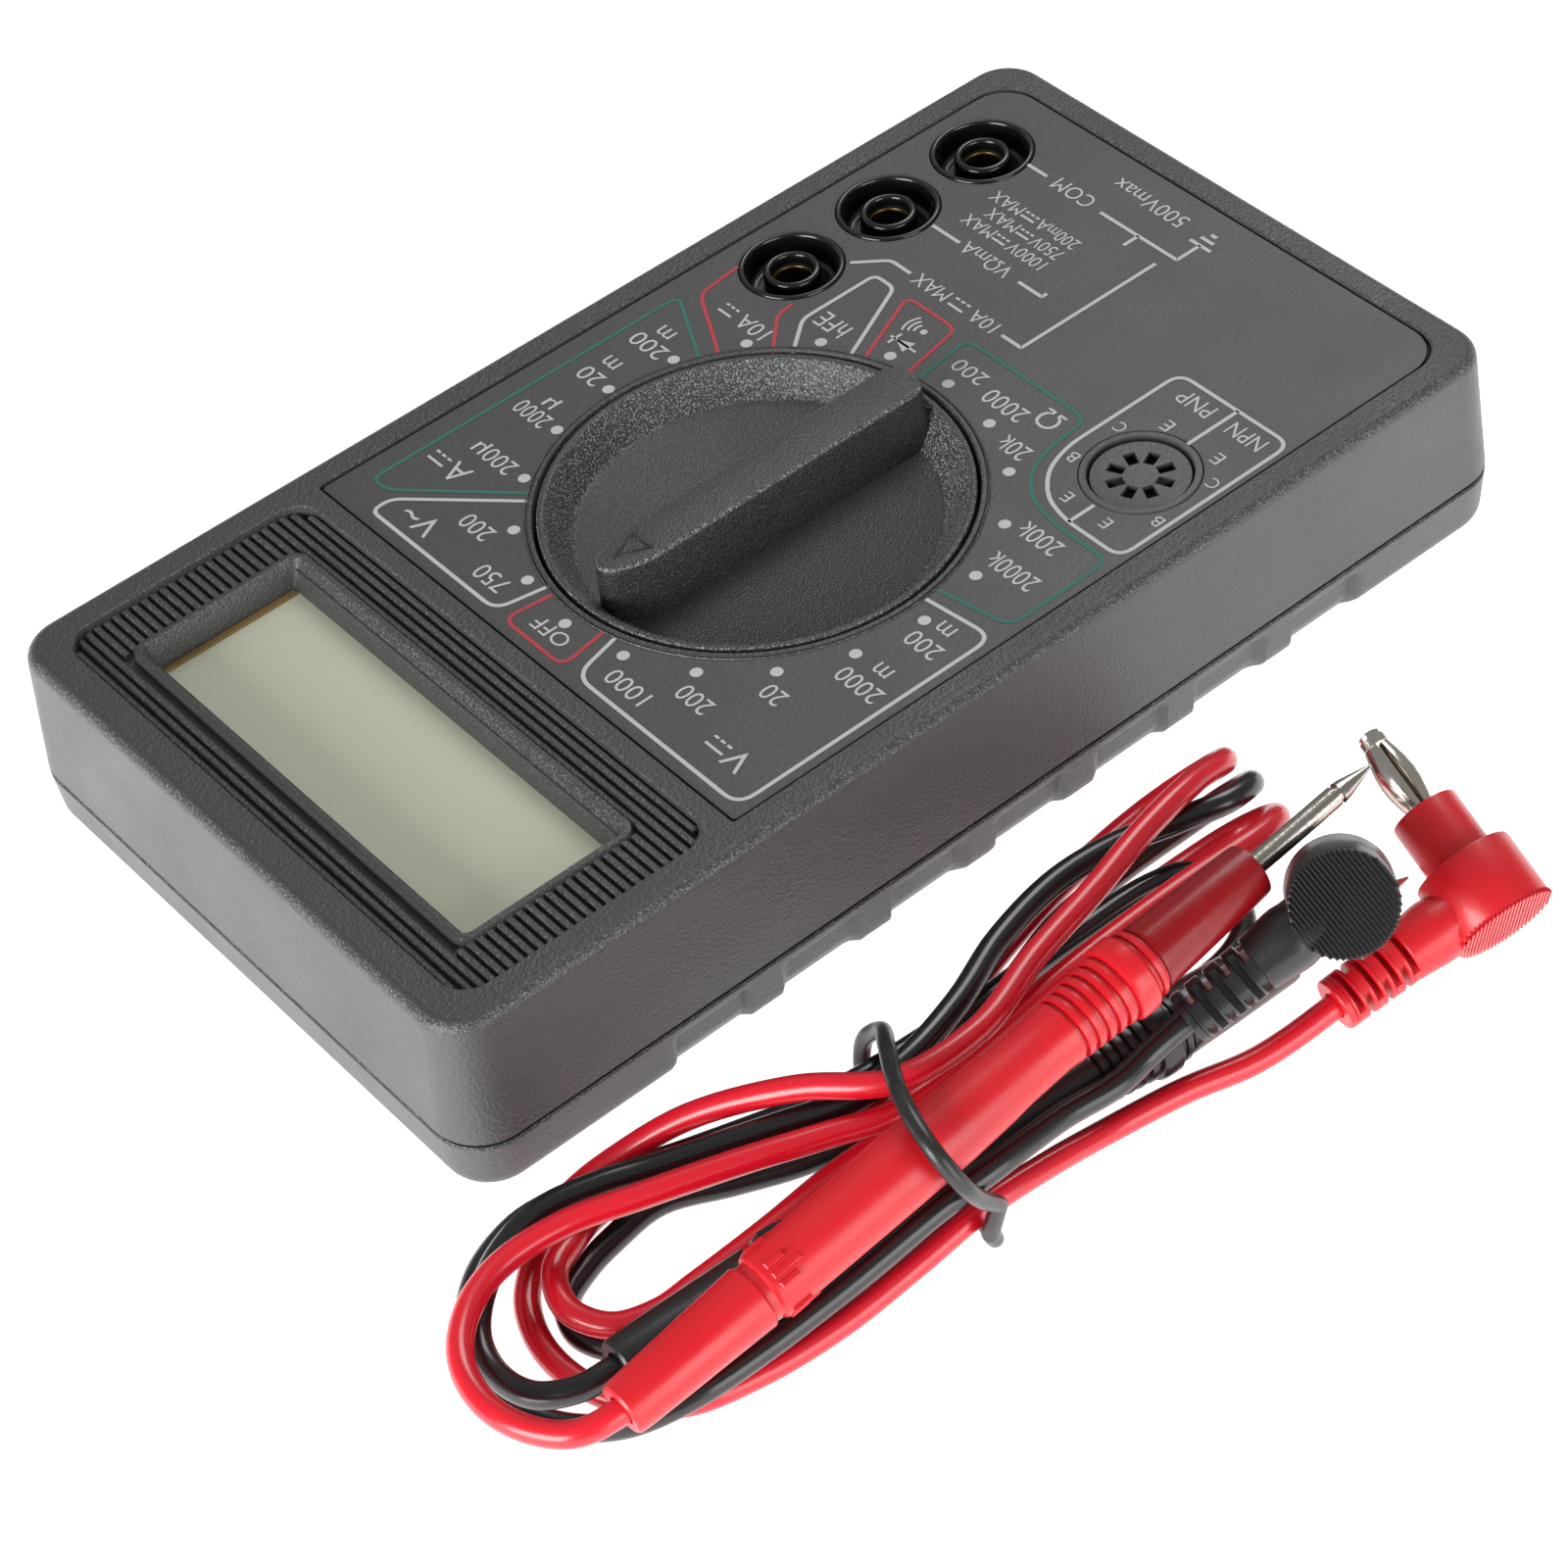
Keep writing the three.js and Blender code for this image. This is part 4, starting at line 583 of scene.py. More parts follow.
def build_label():
    """The label, with a near-black seat under it that shows in the thin gap round it as painted shade."""
    holes = [circle(LABEL_HOLE_R, 0, DIAL_Y, 96)]
    holes += [circle(JACK_R + HOLE_GAP, JACK_X, y, 48) for y in JACK_YS.values()]
    holes.append(circle(SOCKET_R + HOLE_GAP, SOCKET_X, SOCKET_Y, 48))
    outline = panel_outline(-0.14, PANEL_R)
    obj = plate("label", outline, holes, PANEL_Z, LABEL_T, LABEL, "case", bevel=0.05)
    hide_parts("label_panel")
    # the seat is near-black: painted shade in the gap round the label
    seat = panel_outline(0.8, PANEL_R)
    under = plate("label_seat", seat, holes, PANEL_Z - LABEL_T - 0.01, 0.3, PAINTED_GAP_SHADE, "case")


def fillet(points, radius, closed=False):
    """The same open or closed line with its corners rounded."""
    out = []
    n = len(points)
    for i, p in enumerate(points):
        if not closed and i in (0, n - 1):
            out.append(Vector(p))
            continue
        p = Vector(p)
        a = Vector(points[i - 1]) - p
        b = Vector(points[(i + 1) % n]) - p
        reach = min(radius, a.length * 0.45, b.length * 0.45)
        start, end = p + a.normalized() * reach, p + b.normalized() * reach
        for k in range(7):
            t = k / 6
            out.append(start * (1 - t) ** 2 + p * 2 * t * (1 - t) + end * t * t)
    return out


def ribbon(shape, points, width=LINE_W, radius=0.0, closed=False):
    """A flat printed line of even width."""
    line = fillet(points, radius, closed) if radius else [Vector(p) for p in points]
    n = len(line)
    left, right = [], []
    for i, p in enumerate(line):
        before = line[i - 1] if i or closed else p
        after = line[(i + 1) % n] if i < n - 1 or closed else p
        along = (after - before).normalized()
        side = Vector((-along.y, along.x)) * width / 2
        left.append(p + side)
        right.append(p - side)
    verts = [(v.x, v.y, INK_Z) for v in left + right]
    last = n if closed else n - 1
    faces = [(i + n, (i + 1) % n + n, (i + 1) % n, i) for i in range(last)]
    shape.add(verts, faces)


def disc(shape, x, y, r):
    """A printed dot."""
    shape.add(at(circle(r, x, y, 20), INK_Z), [tuple(range(20))])


def letters(shape, words, x, y, w, h):
    """Printed characters fitted to a box of width w and height h centred on (x, y)."""
    curve = bpy.data.curves.new("letters", "FONT")
    curve.body = words
    curve.resolution_u = 3
    data = meshed("letters", curve)
    xs = [v.co.x for v in data.vertices]
    ys = [v.co.y for v in data.vertices]
    sx = w / (max(xs) - min(xs))
    sy = h / (max(ys) - min(ys))
    cx, cy = (max(xs) + min(xs)) / 2, (max(ys) + min(ys)) / 2
    verts = [(x + (v.co.x - cx) * sx, y + (v.co.y - cy) * sy, INK_Z) for v in data.vertices]
    shape.add(verts, [tuple(p.vertices) for p in data.polygons])


def direct_sign(shape, x0, x1, y, gap=1.1):
    """The direct-current sign: a line over three dashes."""
    ribbon(shape, [(x0, y), (x1, y)], 0.3)
    dash = (x1 - x0) / 4
    for i in range(3):
        left = x0 + i * (x1 - x0 - dash) / 2
        ribbon(shape, [(left, y - gap), (left + dash, y - gap)], 0.28)


# (characters, centre x, centre y, width, height)
WHITE_WORDS = [
    ("1000", -11.4, 24.85, 5.2, 1.95), ("200", -17.0, 21.6, 4.0, 2.0), ("20", -21.6, 16.25, 2.5, 2.0),
    ("2000", -26.1, 10.05, 5.3, 2.0), ("m", -26.2, 7.3, 1.8, 1.4), ("200", -26.35, 2.65, 4.0, 2.0),
    ("m", -26.2, -0.2, 1.8, 1.4), ("V", -25.7, 23.75, 2.4, 2.5), ("OFF", -0.65, 25.3, 4.6, 1.7),
    ("750", 9.15, 24.8, 4.0, 2.0), ("200", 15.8, 21.5, 4.0, 2.0), ("V", 19.4, 24.7, 2.4, 2.5),
    ("~", 21.7, 24.75, 2.0, 0.65), ("A", 23.5, 18.15, 2.4, 2.5), ("200", 21.75, 14.3, 4.0, 2.0),
    ("µ", 24.75, 14.2, 1.35, 1.9), ("2000", 25.05, 7.85, 4.5, 2.0), ("µ", 25.0, 5.5, 1.4, 1.7),
    ("20", 25.4, 0.45, 2.9, 2.0), ("m", 25.5, -2.3, 1.9, 1.4), ("200", 24.9, -6.35, 4.6, 2.0),
    ("m", 25.2, -8.85, 1.9, 1.4), ("2000k", -24.8, -9.4, 6.0, 2.1), ("200k", -23.3, -14.1, 5.1, 2.1),
    ("20k", -12.15, -20.9, 3.6, 2.1), ("2000", -7.05, -24.4, 5.3, 2.1), ("200", -0.9, -25.35, 4.2, 1.8),
    ("Ω", -11.6, -25.9, 2.5, 2.6), ("10A", 19.6, -15.2, 4.0, 2.0), ("hFE", 14.15, -20.85, 3.8, 2.2),
    ("E", -26.1, -19.75, 0.9, 1.35), ("E", -20.85, -19.75, 0.9, 1.35), ("B", -29.3, -23.2, 1.0, 1.35),
    ("B", -17.1, -23.9, 1.0, 1.35), ("C", -29.2, -30.3, 1.1, 1.4), ("C", -17.2, -29.8, 1.1, 1.4),
    ("E", -27.0, -33.0, 1.0, 1.5), ("E", -20.25, -33.0, 1.0, 1.5), ("NPN", -26.7, -36.95, 4.3, 1.9),
    ("PNP", -19.9, -37.0, 4.2, 1.9), ("10A", 3.85, -31.3, 3.5, 1.75), ("MAX", 11.5, -31.3, 4.7, 1.75),
    ("VΩmA", 10.8, -37.8, 6.8, 1.9), ("COM", 12.35, -50.9, 5.3, 1.9), ("500Vmax", 5.65, -55.0, 10.0, 1.9),
    ("1000V", 8.35, -40.9, 5.0, 1.6), ("MAX", 15.35, -40.9, 4.2, 1.6), ("750V", 7.8, -43.1, 4.0, 1.6),
    ("MAX", 14.3, -43.1, 4.2, 1.6), ("200mA", 8.6, -45.3, 5.6, 1.6), ("MAX", 16.0, -45.3, 4.2, 1.6),
]
# (x0, x1, y)
DIRECT_SIGNS = [
    (-24.2, -21.8, 24.25), (25.2, 27.5, 18.6), (22.4, 24.3, -14.7), (6.4, 8.5, -30.8),
    (11.2, 13.0, -40.55), (10.1, 11.9, -42.75), (11.7, 13.6, -44.95),
]
# (colour, corner radius, closed, points)
OUTLINES = [
    ("white", 2.0, False, [(-5.5, 21.5), (-6.9, 27.2), (-30, 27.2), (-30, -2.4), (-21.9, -1.5)]),
    ("red", 1.5, False, [(-4.1, 21.9), (-5.0, 27.3), (3.9, 27.3), (3.2, 21.9)]),
    ("white", 1.6, False, [(4.4, 21.6), (5.5, 27.1), (25, 27.1), (25, 24.8), (15.1, 15.7)]),
    ("teal", 1.4, False, [(16.2, 15.2), (26.4, 24.3), (28.7, 24.3), (28.7, -13.2), (19.2, -8.3)]),
    ("red", 1.2, False, [(18.3, -10.0), (27.4, -14.9), (28.0, -20.2)]),
    ("red", 1.0, False, [(15.1, -14.0), (19.3, -18.1), (19.5, -20.2)]),
    ("white", 0.9, False, [(13.7, -15.4), (17, -19.4), (17, -28.7), (14.1, -28.7), (9.2, -18.7)]),
    ("red", 1.3, False, [(7.9, -19.4), (12.1, -28.7), (4.9, -28.7), (3.3, -20.8)]),
    ("teal", 1.6, False, [(1.8, -20.9), (3.0, -28.4), (-14.1, -28.4), (-14.6, -23), (-15.8, -19.8),
                          (-18.6, -17.3), (-23, -16.4), (-30, -16.4), (-30, -4.5), (-21.8, -3.1)]),
    ("white", 1.7, True, [(-23, -17.5), (-19.6, -18.4), (-16.8, -21), (-15.6, -24.6), (-15.6, -39),
                          (-30.4, -39), (-30.4, -17.5)]),
    ("white", 0, False, [(-23.5, -17.5), (-23.5, -20.7)]),
    ("white", 0, False, [(-23.5, -32.2), (-23.5, -39)]),
    ("white", 0.6, False, [(20.3, -28.3), (17.6, -31.3), (14.6, -31.3)]),
    ("white", 0.1, False, [(1.0, -31.15), (-1.8, -31.15), (-1.8, -48.8)]),
    ("white", 0, False, [(14.7, -37.8), (18.8, -37.8)]),
    ("white", 0.1, False, [(5.9, -37.7), (2.5, -37.7), (2.5, -38.4)]),
    ("white", 0, False, [(16.3, -50.9), (19.2, -50.9)]),
    ("white", 0.1, False, [(8.1, -50.6), (-2.9, -50.6), (-2.9, -53.7)]),
    ("white", 0, False, [(2.6, -48.6), (2.6, -50.6)]),
    ("white", 0, False, [(-4.4, -53.7), (-1.5, -53.7)]),
    ("white", 0, False, [(-3.8, -54.7), (-2.0, -54.7)]),
    ("white", 0, False, [(-3.3, -55.6), (-2.5, -55.6)]),
]
DOT_X, DOT_Y = -0.7, 0.45
DOT_RING_R, DOT_R, POSITIONS = 23.25, 0.62, 20
BUZZER_X, BUZZER_Y = 6.85, -26.25


def build_printing():
    """The printed scale: one flat piece for each ink."""
    inks = {"white": Shape(), "red": Shape(), "teal": Shape()}
    white = inks["white"]
    for word in WHITE_WORDS:
        letters(white, *word)
    for x0, x1, y in DIRECT_SIGNS:
        direct_sign(white, x0, x1, y, 1.1 if y > -40 else 0.75)
    for colour, radius, closed, points in OUTLINES:
        ribbon(inks[colour], points, LINE_W, radius, closed)
    for i in range(POSITIONS):
        a = math.pi / 2 + 2 * math.pi * i / POSITIONS
        disc(white, DOT_X + DOT_RING_R * math.cos(a), DOT_Y + DOT_RING_R * math.sin(a), DOT_R)
    # diode sign, then the buzzer's dot and waves
    ribbon(white, [(5.1, -23.7), (8.8, -23.7)], 0.28)
    white.add([(6.1, -22.85, INK_Z), (6.1, -24.55, INK_Z), (8.0, -23.7, INK_Z)], [(0, 1, 2)])
    ribbon(white, [(8.2, -22.8), (8.2, -24.6)], 0.3)
    disc(white, BUZZER_X, BUZZER_Y, 0.38)
    for r in (1.0, 1.6, 2.2):
        arc = [(BUZZER_X + r * math.cos(a / 10), BUZZER_Y + r * math.sin(a / 10)) for a in range(-6, 7)]
        ribbon(white, arc, 0.26)
    mats = {"white": PRINT_WHITE, "red": PRINT_RED, "teal": PRINT_TEAL}
    for colour, shape in inks.items():
        shape.object(f"printing_{colour}", mats[colour], "case")


build_label()
build_printing()

# -------- selector


def bar_outline(grow, widen):
    """Plan of the selector's bar, round at the tail and pointed at the tip."""
    half = BAR_W / 2
    pts = [(half, BAR_TAIL_Y + 1.6), (half, BAR_TIP_Y - 4.4), (half * 0.86, BAR_TIP_Y - 2.9),
           (1.5, BAR_TIP_Y - 0.9)]
    for i in range(1, 6):
        a = math.pi / 6 + (math.pi * 2 / 3) * i / 6
        pts.append((1.45 * math.cos(a), BAR_TIP_Y - 1.5 + 1.5 * math.sin(a)))
    pts += [(-x, y) for x, y in reversed(pts[:4])]
    for i in range(1, 10):
        a = math.pi + math.pi * i / 10
        pts.append((half * math.cos(a), BAR_TAIL_Y + 1.6 + 1.6 * math.sin(a)))
    mid = (BAR_TIP_Y + BAR_TAIL_Y) / 2
    sx = (half + grow) / half * widen
    sy = (BAR_TIP_Y - mid + grow) / (BAR_TIP_Y - mid)
    return [(x * sx, DIAL_Y + mid + (y - mid) * sy) for x, y in pts]


# The knob's rim and bowl, as (radius, height).
BOWL = [
    (KNOB_R, 16.5), (KNOB_R, 20.75), (KNOB_R - 0.08, 20.9), (KNOB_R - 0.2, 20.97), (BOWL_R + 0.12, 20.97),
    (BOWL_R - 0.05, 20.85), (BOWL_R - 0.2, 20.55), (BOWL_FLOOR_R + 0.5, BOWL_FLOOR_Z + 0.45),
    (BOWL_FLOOR_R + 0.25, BOWL_FLOOR_Z + 0.15), (BOWL_FLOOR_R - 0.2, BOWL_FLOOR_Z), (0, BOWL_FLOOR_Z),
]
BAR_EDGE_R = 0.45


def build_knob():
    """The selector: a bowl with a tapered bar across it, and the pointer's outlined triangle."""
    knob = Shape().turned(BOWL, 96, y=DIAL_Y)
    foot, shoulder = BOWL_FLOOR_Z - 0.3, KNOB_TOP_Z - BAR_EDGE_R
    levels = []
    for i in range(6):
        t = i / 5
        levels.append((foot + (shoulder - foot) * t, 0.0, 1 + (1 - t) * (BAR_FOOT_W / BAR_W - 1)))
    for i in range(1, 5):
        a = math.pi / 2 * i / 4
        levels.append((shoulder + BAR_EDGE_R * math.sin(a), -BAR_EDGE_R * (1 - math.cos(a)), 1.0))
    knob.loft([at(bar_outline(grow, widen), z) for z, grow, widen in levels], last=True)
    obj = knob.object("selector", KNOB, "knob", 38)
    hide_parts("selector_knob")
    tip = DIAL_Y + BAR_TIP_Y - 1.9
    corners = at([(0, tip), (1.35, tip - 3.2), (-1.35, tip - 3.2)], KNOB_TOP_Z - 0.04)
    # the outline takes the darker colour of painted shade
    obj = tube("pointer_mark", corners, 0.22, 2, PAINTED_MARK_SHADE, closed=True)
    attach(obj, "knob")


build_knob()

# -------- jacks and transistor socket

# Each as (radius, height), from outside in: a jack's moulding, its bore (near-black, as painted shade) and
# its contact.
JACK = [
    (JACK_R - 0.02, 17.8), (JACK_R - 0.02, 20.7), (JACK_R - 0.12, 20.88), (5.0, 20.92), (4.82, 20.86),
    (4.72, 20.6), (4.6, 19.4), (4.35, 18.5), (4.0, 18.1), (3.6, 18.1), (3.2, 18.6), (2.98, 19.4),
    (2.88, 20.1), (2.75, 20.4), (2.5, 20.52), (2.28, 20.45), (2.15, 20.2), (2.1, 19.4),
]
JACK_PIT = [(2.12, 19.45), (2.12, 12.0), (0, 12.0)]
JACK_SLEEVE = [(2.1, 18.8), (2.1, 19.1), (1.98, 19.2), (1.9, 19.15), (1.88, 18.8)]
# The transistor socket's body, and one of its eight slots as (distance out, distance across).
SOCKET_RIM = [
    (SOCKET_R, 19.0), (SOCKET_R, PANEL_Z - 0.05), (SOCKET_R - 0.1, PANEL_Z + 0.05), (5.15, PANEL_Z + 0.06),
    (5.04, PANEL_Z - 0.02), (5.0, 19.2),
]
SOCKET_SLOT = [(1.65, -0.56), (3.35, -0.62), (3.35, 0.62), (1.65, 0.56)]
SOCKET_SLOTS = 8


def build_jacks():
    for label, y in JACK_YS.items():
        socket = Shape().turned(JACK, 64, x=JACK_X, y=y)
        painted_shade_pit = Shape().turned(JACK_PIT, 32, x=JACK_X, y=y)
        # the bore in near-black: painted shade down the hole
        painted_shade_pit.object(f"jack_pit_{label}", PAINTED_GAP_SHADE, "case", 60)
        obj = socket.object(f"jack_{label}", GLOSS_BLACK, "case", 60)
        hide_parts(f"jack_socket_{label}")
        sleeve = Shape().turned(JACK_SLEEVE, 48, x=JACK_X, y=y)
        contact = sleeve.object(f"contact_{label}", JACK_BRASS, "case", 60)
        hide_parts(f"jack_contact_{label}")


def build_transistor_socket():
    centre = Vector((SOCKET_X, SOCKET_Y))
    slots = []
    for i in range(SOCKET_SLOTS):
        a = 2 * math.pi * (i + 0.5) / SOCKET_SLOTS
        along, across = Vector((math.cos(a), math.sin(a))), Vector((-math.sin(a), math.cos(a)))
        slots.append([tuple(centre + along * r + across * w) for r, w in SOCKET_SLOT])
    edge = circle(4.75, SOCKET_X, SOCKET_Y, 64)
    top = plate("transistor_socket_top", edge, slots, PANEL_Z - 0.35, 0.5, SOCKET, "case", bevel=0.03)
    well = Shape().turned(SOCKET_RIM, 64, x=SOCKET_X, y=SOCKET_Y)
    obj = well.object("transistor_socket_body", SOCKET, "case")
    # a near-black floor under the slots: painted shade inside the holes
    painted_shade_pit = Shape().turned([(4.98, PANEL_Z - 0.2), (4.96, 19.3), (0, 19.3)], 48, x=SOCKET_X, y=SOCKET_Y)
    painted_shade_pit.object("transistor_socket_pit", PAINTED_GAP_SHADE, "case")
    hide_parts("transistor_socket")


build_jacks()
build_transistor_socket()

# -------- leads


def between(a, b, ta, tb, t):
    """The point at t on the line that passes a at ta and b at tb."""
    return a * ((tb - t) / (tb - ta)) + b * ((t - ta) / (tb - ta))


def smooth_path(points, per=7):
    """A centripetal Catmull-Rom curve through the points."""
    pts = [Vector(p) for p in points]
    pts = [pts[0] * 2 - pts[1]] + pts + [pts[-1] * 2 - pts[-2]]
    out = []
    for i in range(1, len(pts) - 2):
        p0, p1, p2, p3 = pts[i - 1 : i + 3]
        t0 = 0.0
        t1 = (p1 - p0).length ** 0.5
        t2 = t1 + (p2 - p1).length ** 0.5
        t3 = t2 + (p3 - p2).length ** 0.5
        for k in range(per):
            t = t1 + (t2 - t1) * k / per
            a1, a2, a3 = between(p0, p1, t0, t1, t), between(p1, p2, t1, t2, t), between(p2, p3, t2, t3, t)
            out.append(between(between(a1, a2, t0, t2, t), between(a2, a3, t1, t3, t), t1, t2, t))
    out.append(pts[-2])
    return out


def strand(name, points, radius, mat, closed=False):
    """A round cord on a smooth path, open unless closed is set, with its length in metres."""
    path = smooth_path(points)
    obj = tube(name, path, radius, 5, mat, closed)
    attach(obj, "leads")
    return obj, sum((b - a).length for a, b in zip(path, path[1:])) * MM


def laid(at_point, axis, side):
    """The placing of a piece built about +Z, its side towards +Y."""
    z = Vector(axis).normalized()
    side = Vector(side)
    y = (side - z * side.dot(z)).normalized()
    x = y.cross(z)
    turn = Matrix((x, y, z)).transposed().to_4x4()
    return Matrix.Translation(Vector(at_point)) @ turn


# A probe's profiles as (radius, distance from its rear end): the handle up to its grooves, the handle past
# them, the nose and the needle.
HANDLE_REAR = [
    (CORD_R + 0.1, 2.0), (CORD_R + 0.15, 0.1), (1.7, 0.0), (2.2, 0.02), (2.4, 0.25), (2.5, 1.2), (2.65, 5),
    (2.95, 13.6), (2.98, 14.2), (2.85, 14.42), (2.72, 14.5), (2.72, 15.2), (2.85, 15.3), (3.05, 15.4),
    (3.12, 15.6), (3.22, 22), (3.3, 30), (3.3, 36), (3.12, 40.5), (2.95, 43), (2.9, 45.5), (2.86, 47.4),
    (2.98, 48.6),
]
HANDLE_COLLAR = [
    (3.36, 54.5), (3.1, 54.55), (3.1, 54.9), (3.55, 55.0), (3.72, 55.3), (3.76, 56.2), (3.72, 57.0),
    (3.5, 57.25), (3.12, 57.3), (3.1, 57.75), (3.34, 57.8), (3.36, 58.25), (3.3, 58.35), (2.96, 58.4),
    (2.9, 59.4),
]
NOSE = [
    (2.7, 58.7), (3.1, 58.75), (3.17, 58.9), (3.16, 59.2), (2.95, 64), (2.6, 70.7), (2.52, 71.15),
    (2.35, 71.25), (1.05, 71.25), (1.0, 70),
]
NEEDLE_TIP = [
    (0, HANDLE_LENGTH - 3), (NEEDLE_R, HANDLE_LENGTH - 3), (NEEDLE_R, PROBE_LENGTH - 4.6),
    (0.8, PROBE_LENGTH - 4.5), (0.8, PROBE_LENGTH - 4.2), (NEEDLE_R, PROBE_LENGTH - 4.1),
    (0.92, PROBE_LENGTH - 3.4), (0.5, PROBE_LENGTH - 1.6), (0.14, PROBE_LENGTH - 0.1), (0, PROBE_LENGTH),
]
GROOVES, GROOVE_PITCH = 5, 1.12
# Turns a box built up along +Z so that its height points along +Y and its depth along +Z.
ON_SIDE = Matrix(((1, 0, 0, 0), (0, 0, 1, 0), (0, 1, 0, 0), (0, 0, 0, 1)))


def build_probe(colour, mat, nose_mat):
    """A test probe: handle, nose and needle."""
    place = PROBES[colour]
    axis = Vector(place["towards"]) - Vector(place["rear"])
    matrix = laid(place["rear"], axis, (0, 0, 1))
    profile = list(HANDLE_REAR)
    for i in range(GROOVES):
        r = 3.02 + 0.07 * i
        low, high = 48.9 + GROOVE_PITCH * i, 49.34 + GROOVE_PITCH * i
        profile += [(r - 0.03, low), (r - 0.36, low + 0.06), (r - 0.36, high), (r + 0.02, high + 0.06),
                    (r + 0.08, high + 0.35)]
    profile += HANDLE_COLLAR
    nose = Shape().turned(NOSE, 56, matrix).object(f"nose_{colour}", nose_mat, "leads", 32)
    handle = Shape().turned(profile, 56, matrix)
    # four groups of three short ribs, just ahead of the seam near the handle's rear
    for turn in range(4):
        spin = matrix @ Matrix.Rotation(math.pi / 2 * turn + 0.5, 4, "Z")
        for k in (-1, 0, 1):
            handle.box(k - 0.3, k + 0.3, 15.9, 18.8 - abs(k), 2.6, 3.28, 0.1, spin @ ON_SIDE)
    obj = handle.object(f"handle_{colour}", mat, "leads", 32)
    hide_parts(f"probe_handle_{colour}")
    needle = Shape().turned(NEEDLE_TIP, 32, matrix).object(f"needle_{colour}", NEEDLE, "leads", 50)
    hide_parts(f"probe_needle_{colour}")
    return [obj, nose, needle]


def clipped(r, half, along_x, steps=32):
    """A circle of radius r cut off flat at half on two opposite sides."""
    loop = []
    for i in range(steps):
        a = 2 * math.pi * (i + 0.5) / steps
        x, y = r * math.cos(a), r * math.sin(a)
        if along_x:
            x = max(-half, min(half, x))
        else:
            y = max(-half, min(half, y))
        loop.append((x, y))
    return loop


# A plug's profiles as (radius, distance): the head with its sleeve and the pin's core from the plug's back,
# the neck from where the strain relief starts, and one of the pin's four leaves from the sleeve's end.
SLEEVE_END = HEAD_L + SLEEVE_L
PIN_TIP = SLEEVE_END + PIN_L
HEAD = [
    (0, 0.35), (HEAD_R - 0.3, 0.35), (HEAD_R - 0.08, 0.42), (HEAD_R, 0.6), (HEAD_R, HEAD_L - 0.25),
    (HEAD_R - 0.07, HEAD_L - 0.07), (HEAD_R - 0.25, HEAD_L), (SLEEVE_R + 0.15, HEAD_L),
    (SLEEVE_R, HEAD_L + 0.12), (SLEEVE_R - 0.02, SLEEVE_END - 0.25), (SLEEVE_R - 0.08, SLEEVE_END - 0.07),
    (SLEEVE_R - 0.25, SLEEVE_END), (1.75, SLEEVE_END), (1.75, SLEEVE_END - 2),
]
PIN_CORE = [
    (1.55, SLEEVE_END - 2), (1.6, SLEEVE_END), (1.6, SLEEVE_END + 0.3), (1.3, SLEEVE_END + 0.45),
    (0.8, SLEEVE_END + 0.6), (0.8, PIN_TIP - 1.7), (1.2, PIN_TIP - 1.6), (1.36, PIN_TIP - 1.4),
    (1.36, PIN_TIP - 0.6), (1.1, PIN_TIP - 0.5), (1.2, PIN_TIP - 0.15), (1.0, PIN_TIP), (0, PIN_TIP),
]
NECK = [
    (0, 0), (2.85, 0.1), (2.9, 4.6), (3.02, 5.4), (3.0, 6.2), (2.75, 8.2), (2.66, 9.1), (2.5, NECK_L),
    (0, NECK_L),
]
LEAF = [(1.35, 0.3), (1.6, 1.2), (1.82, 2.4), (1.9, 3.6), (1.8, 4.8), (1.6, 5.9), (1.38, 6.8), (1.3, 7.2)]
LEAF_T, LEAF_GAP = 0.3, 0.2
RIDGES = 24
SLOT_L, RING_STEP, WEB_HALF = 0.62, 0.36, 1.25


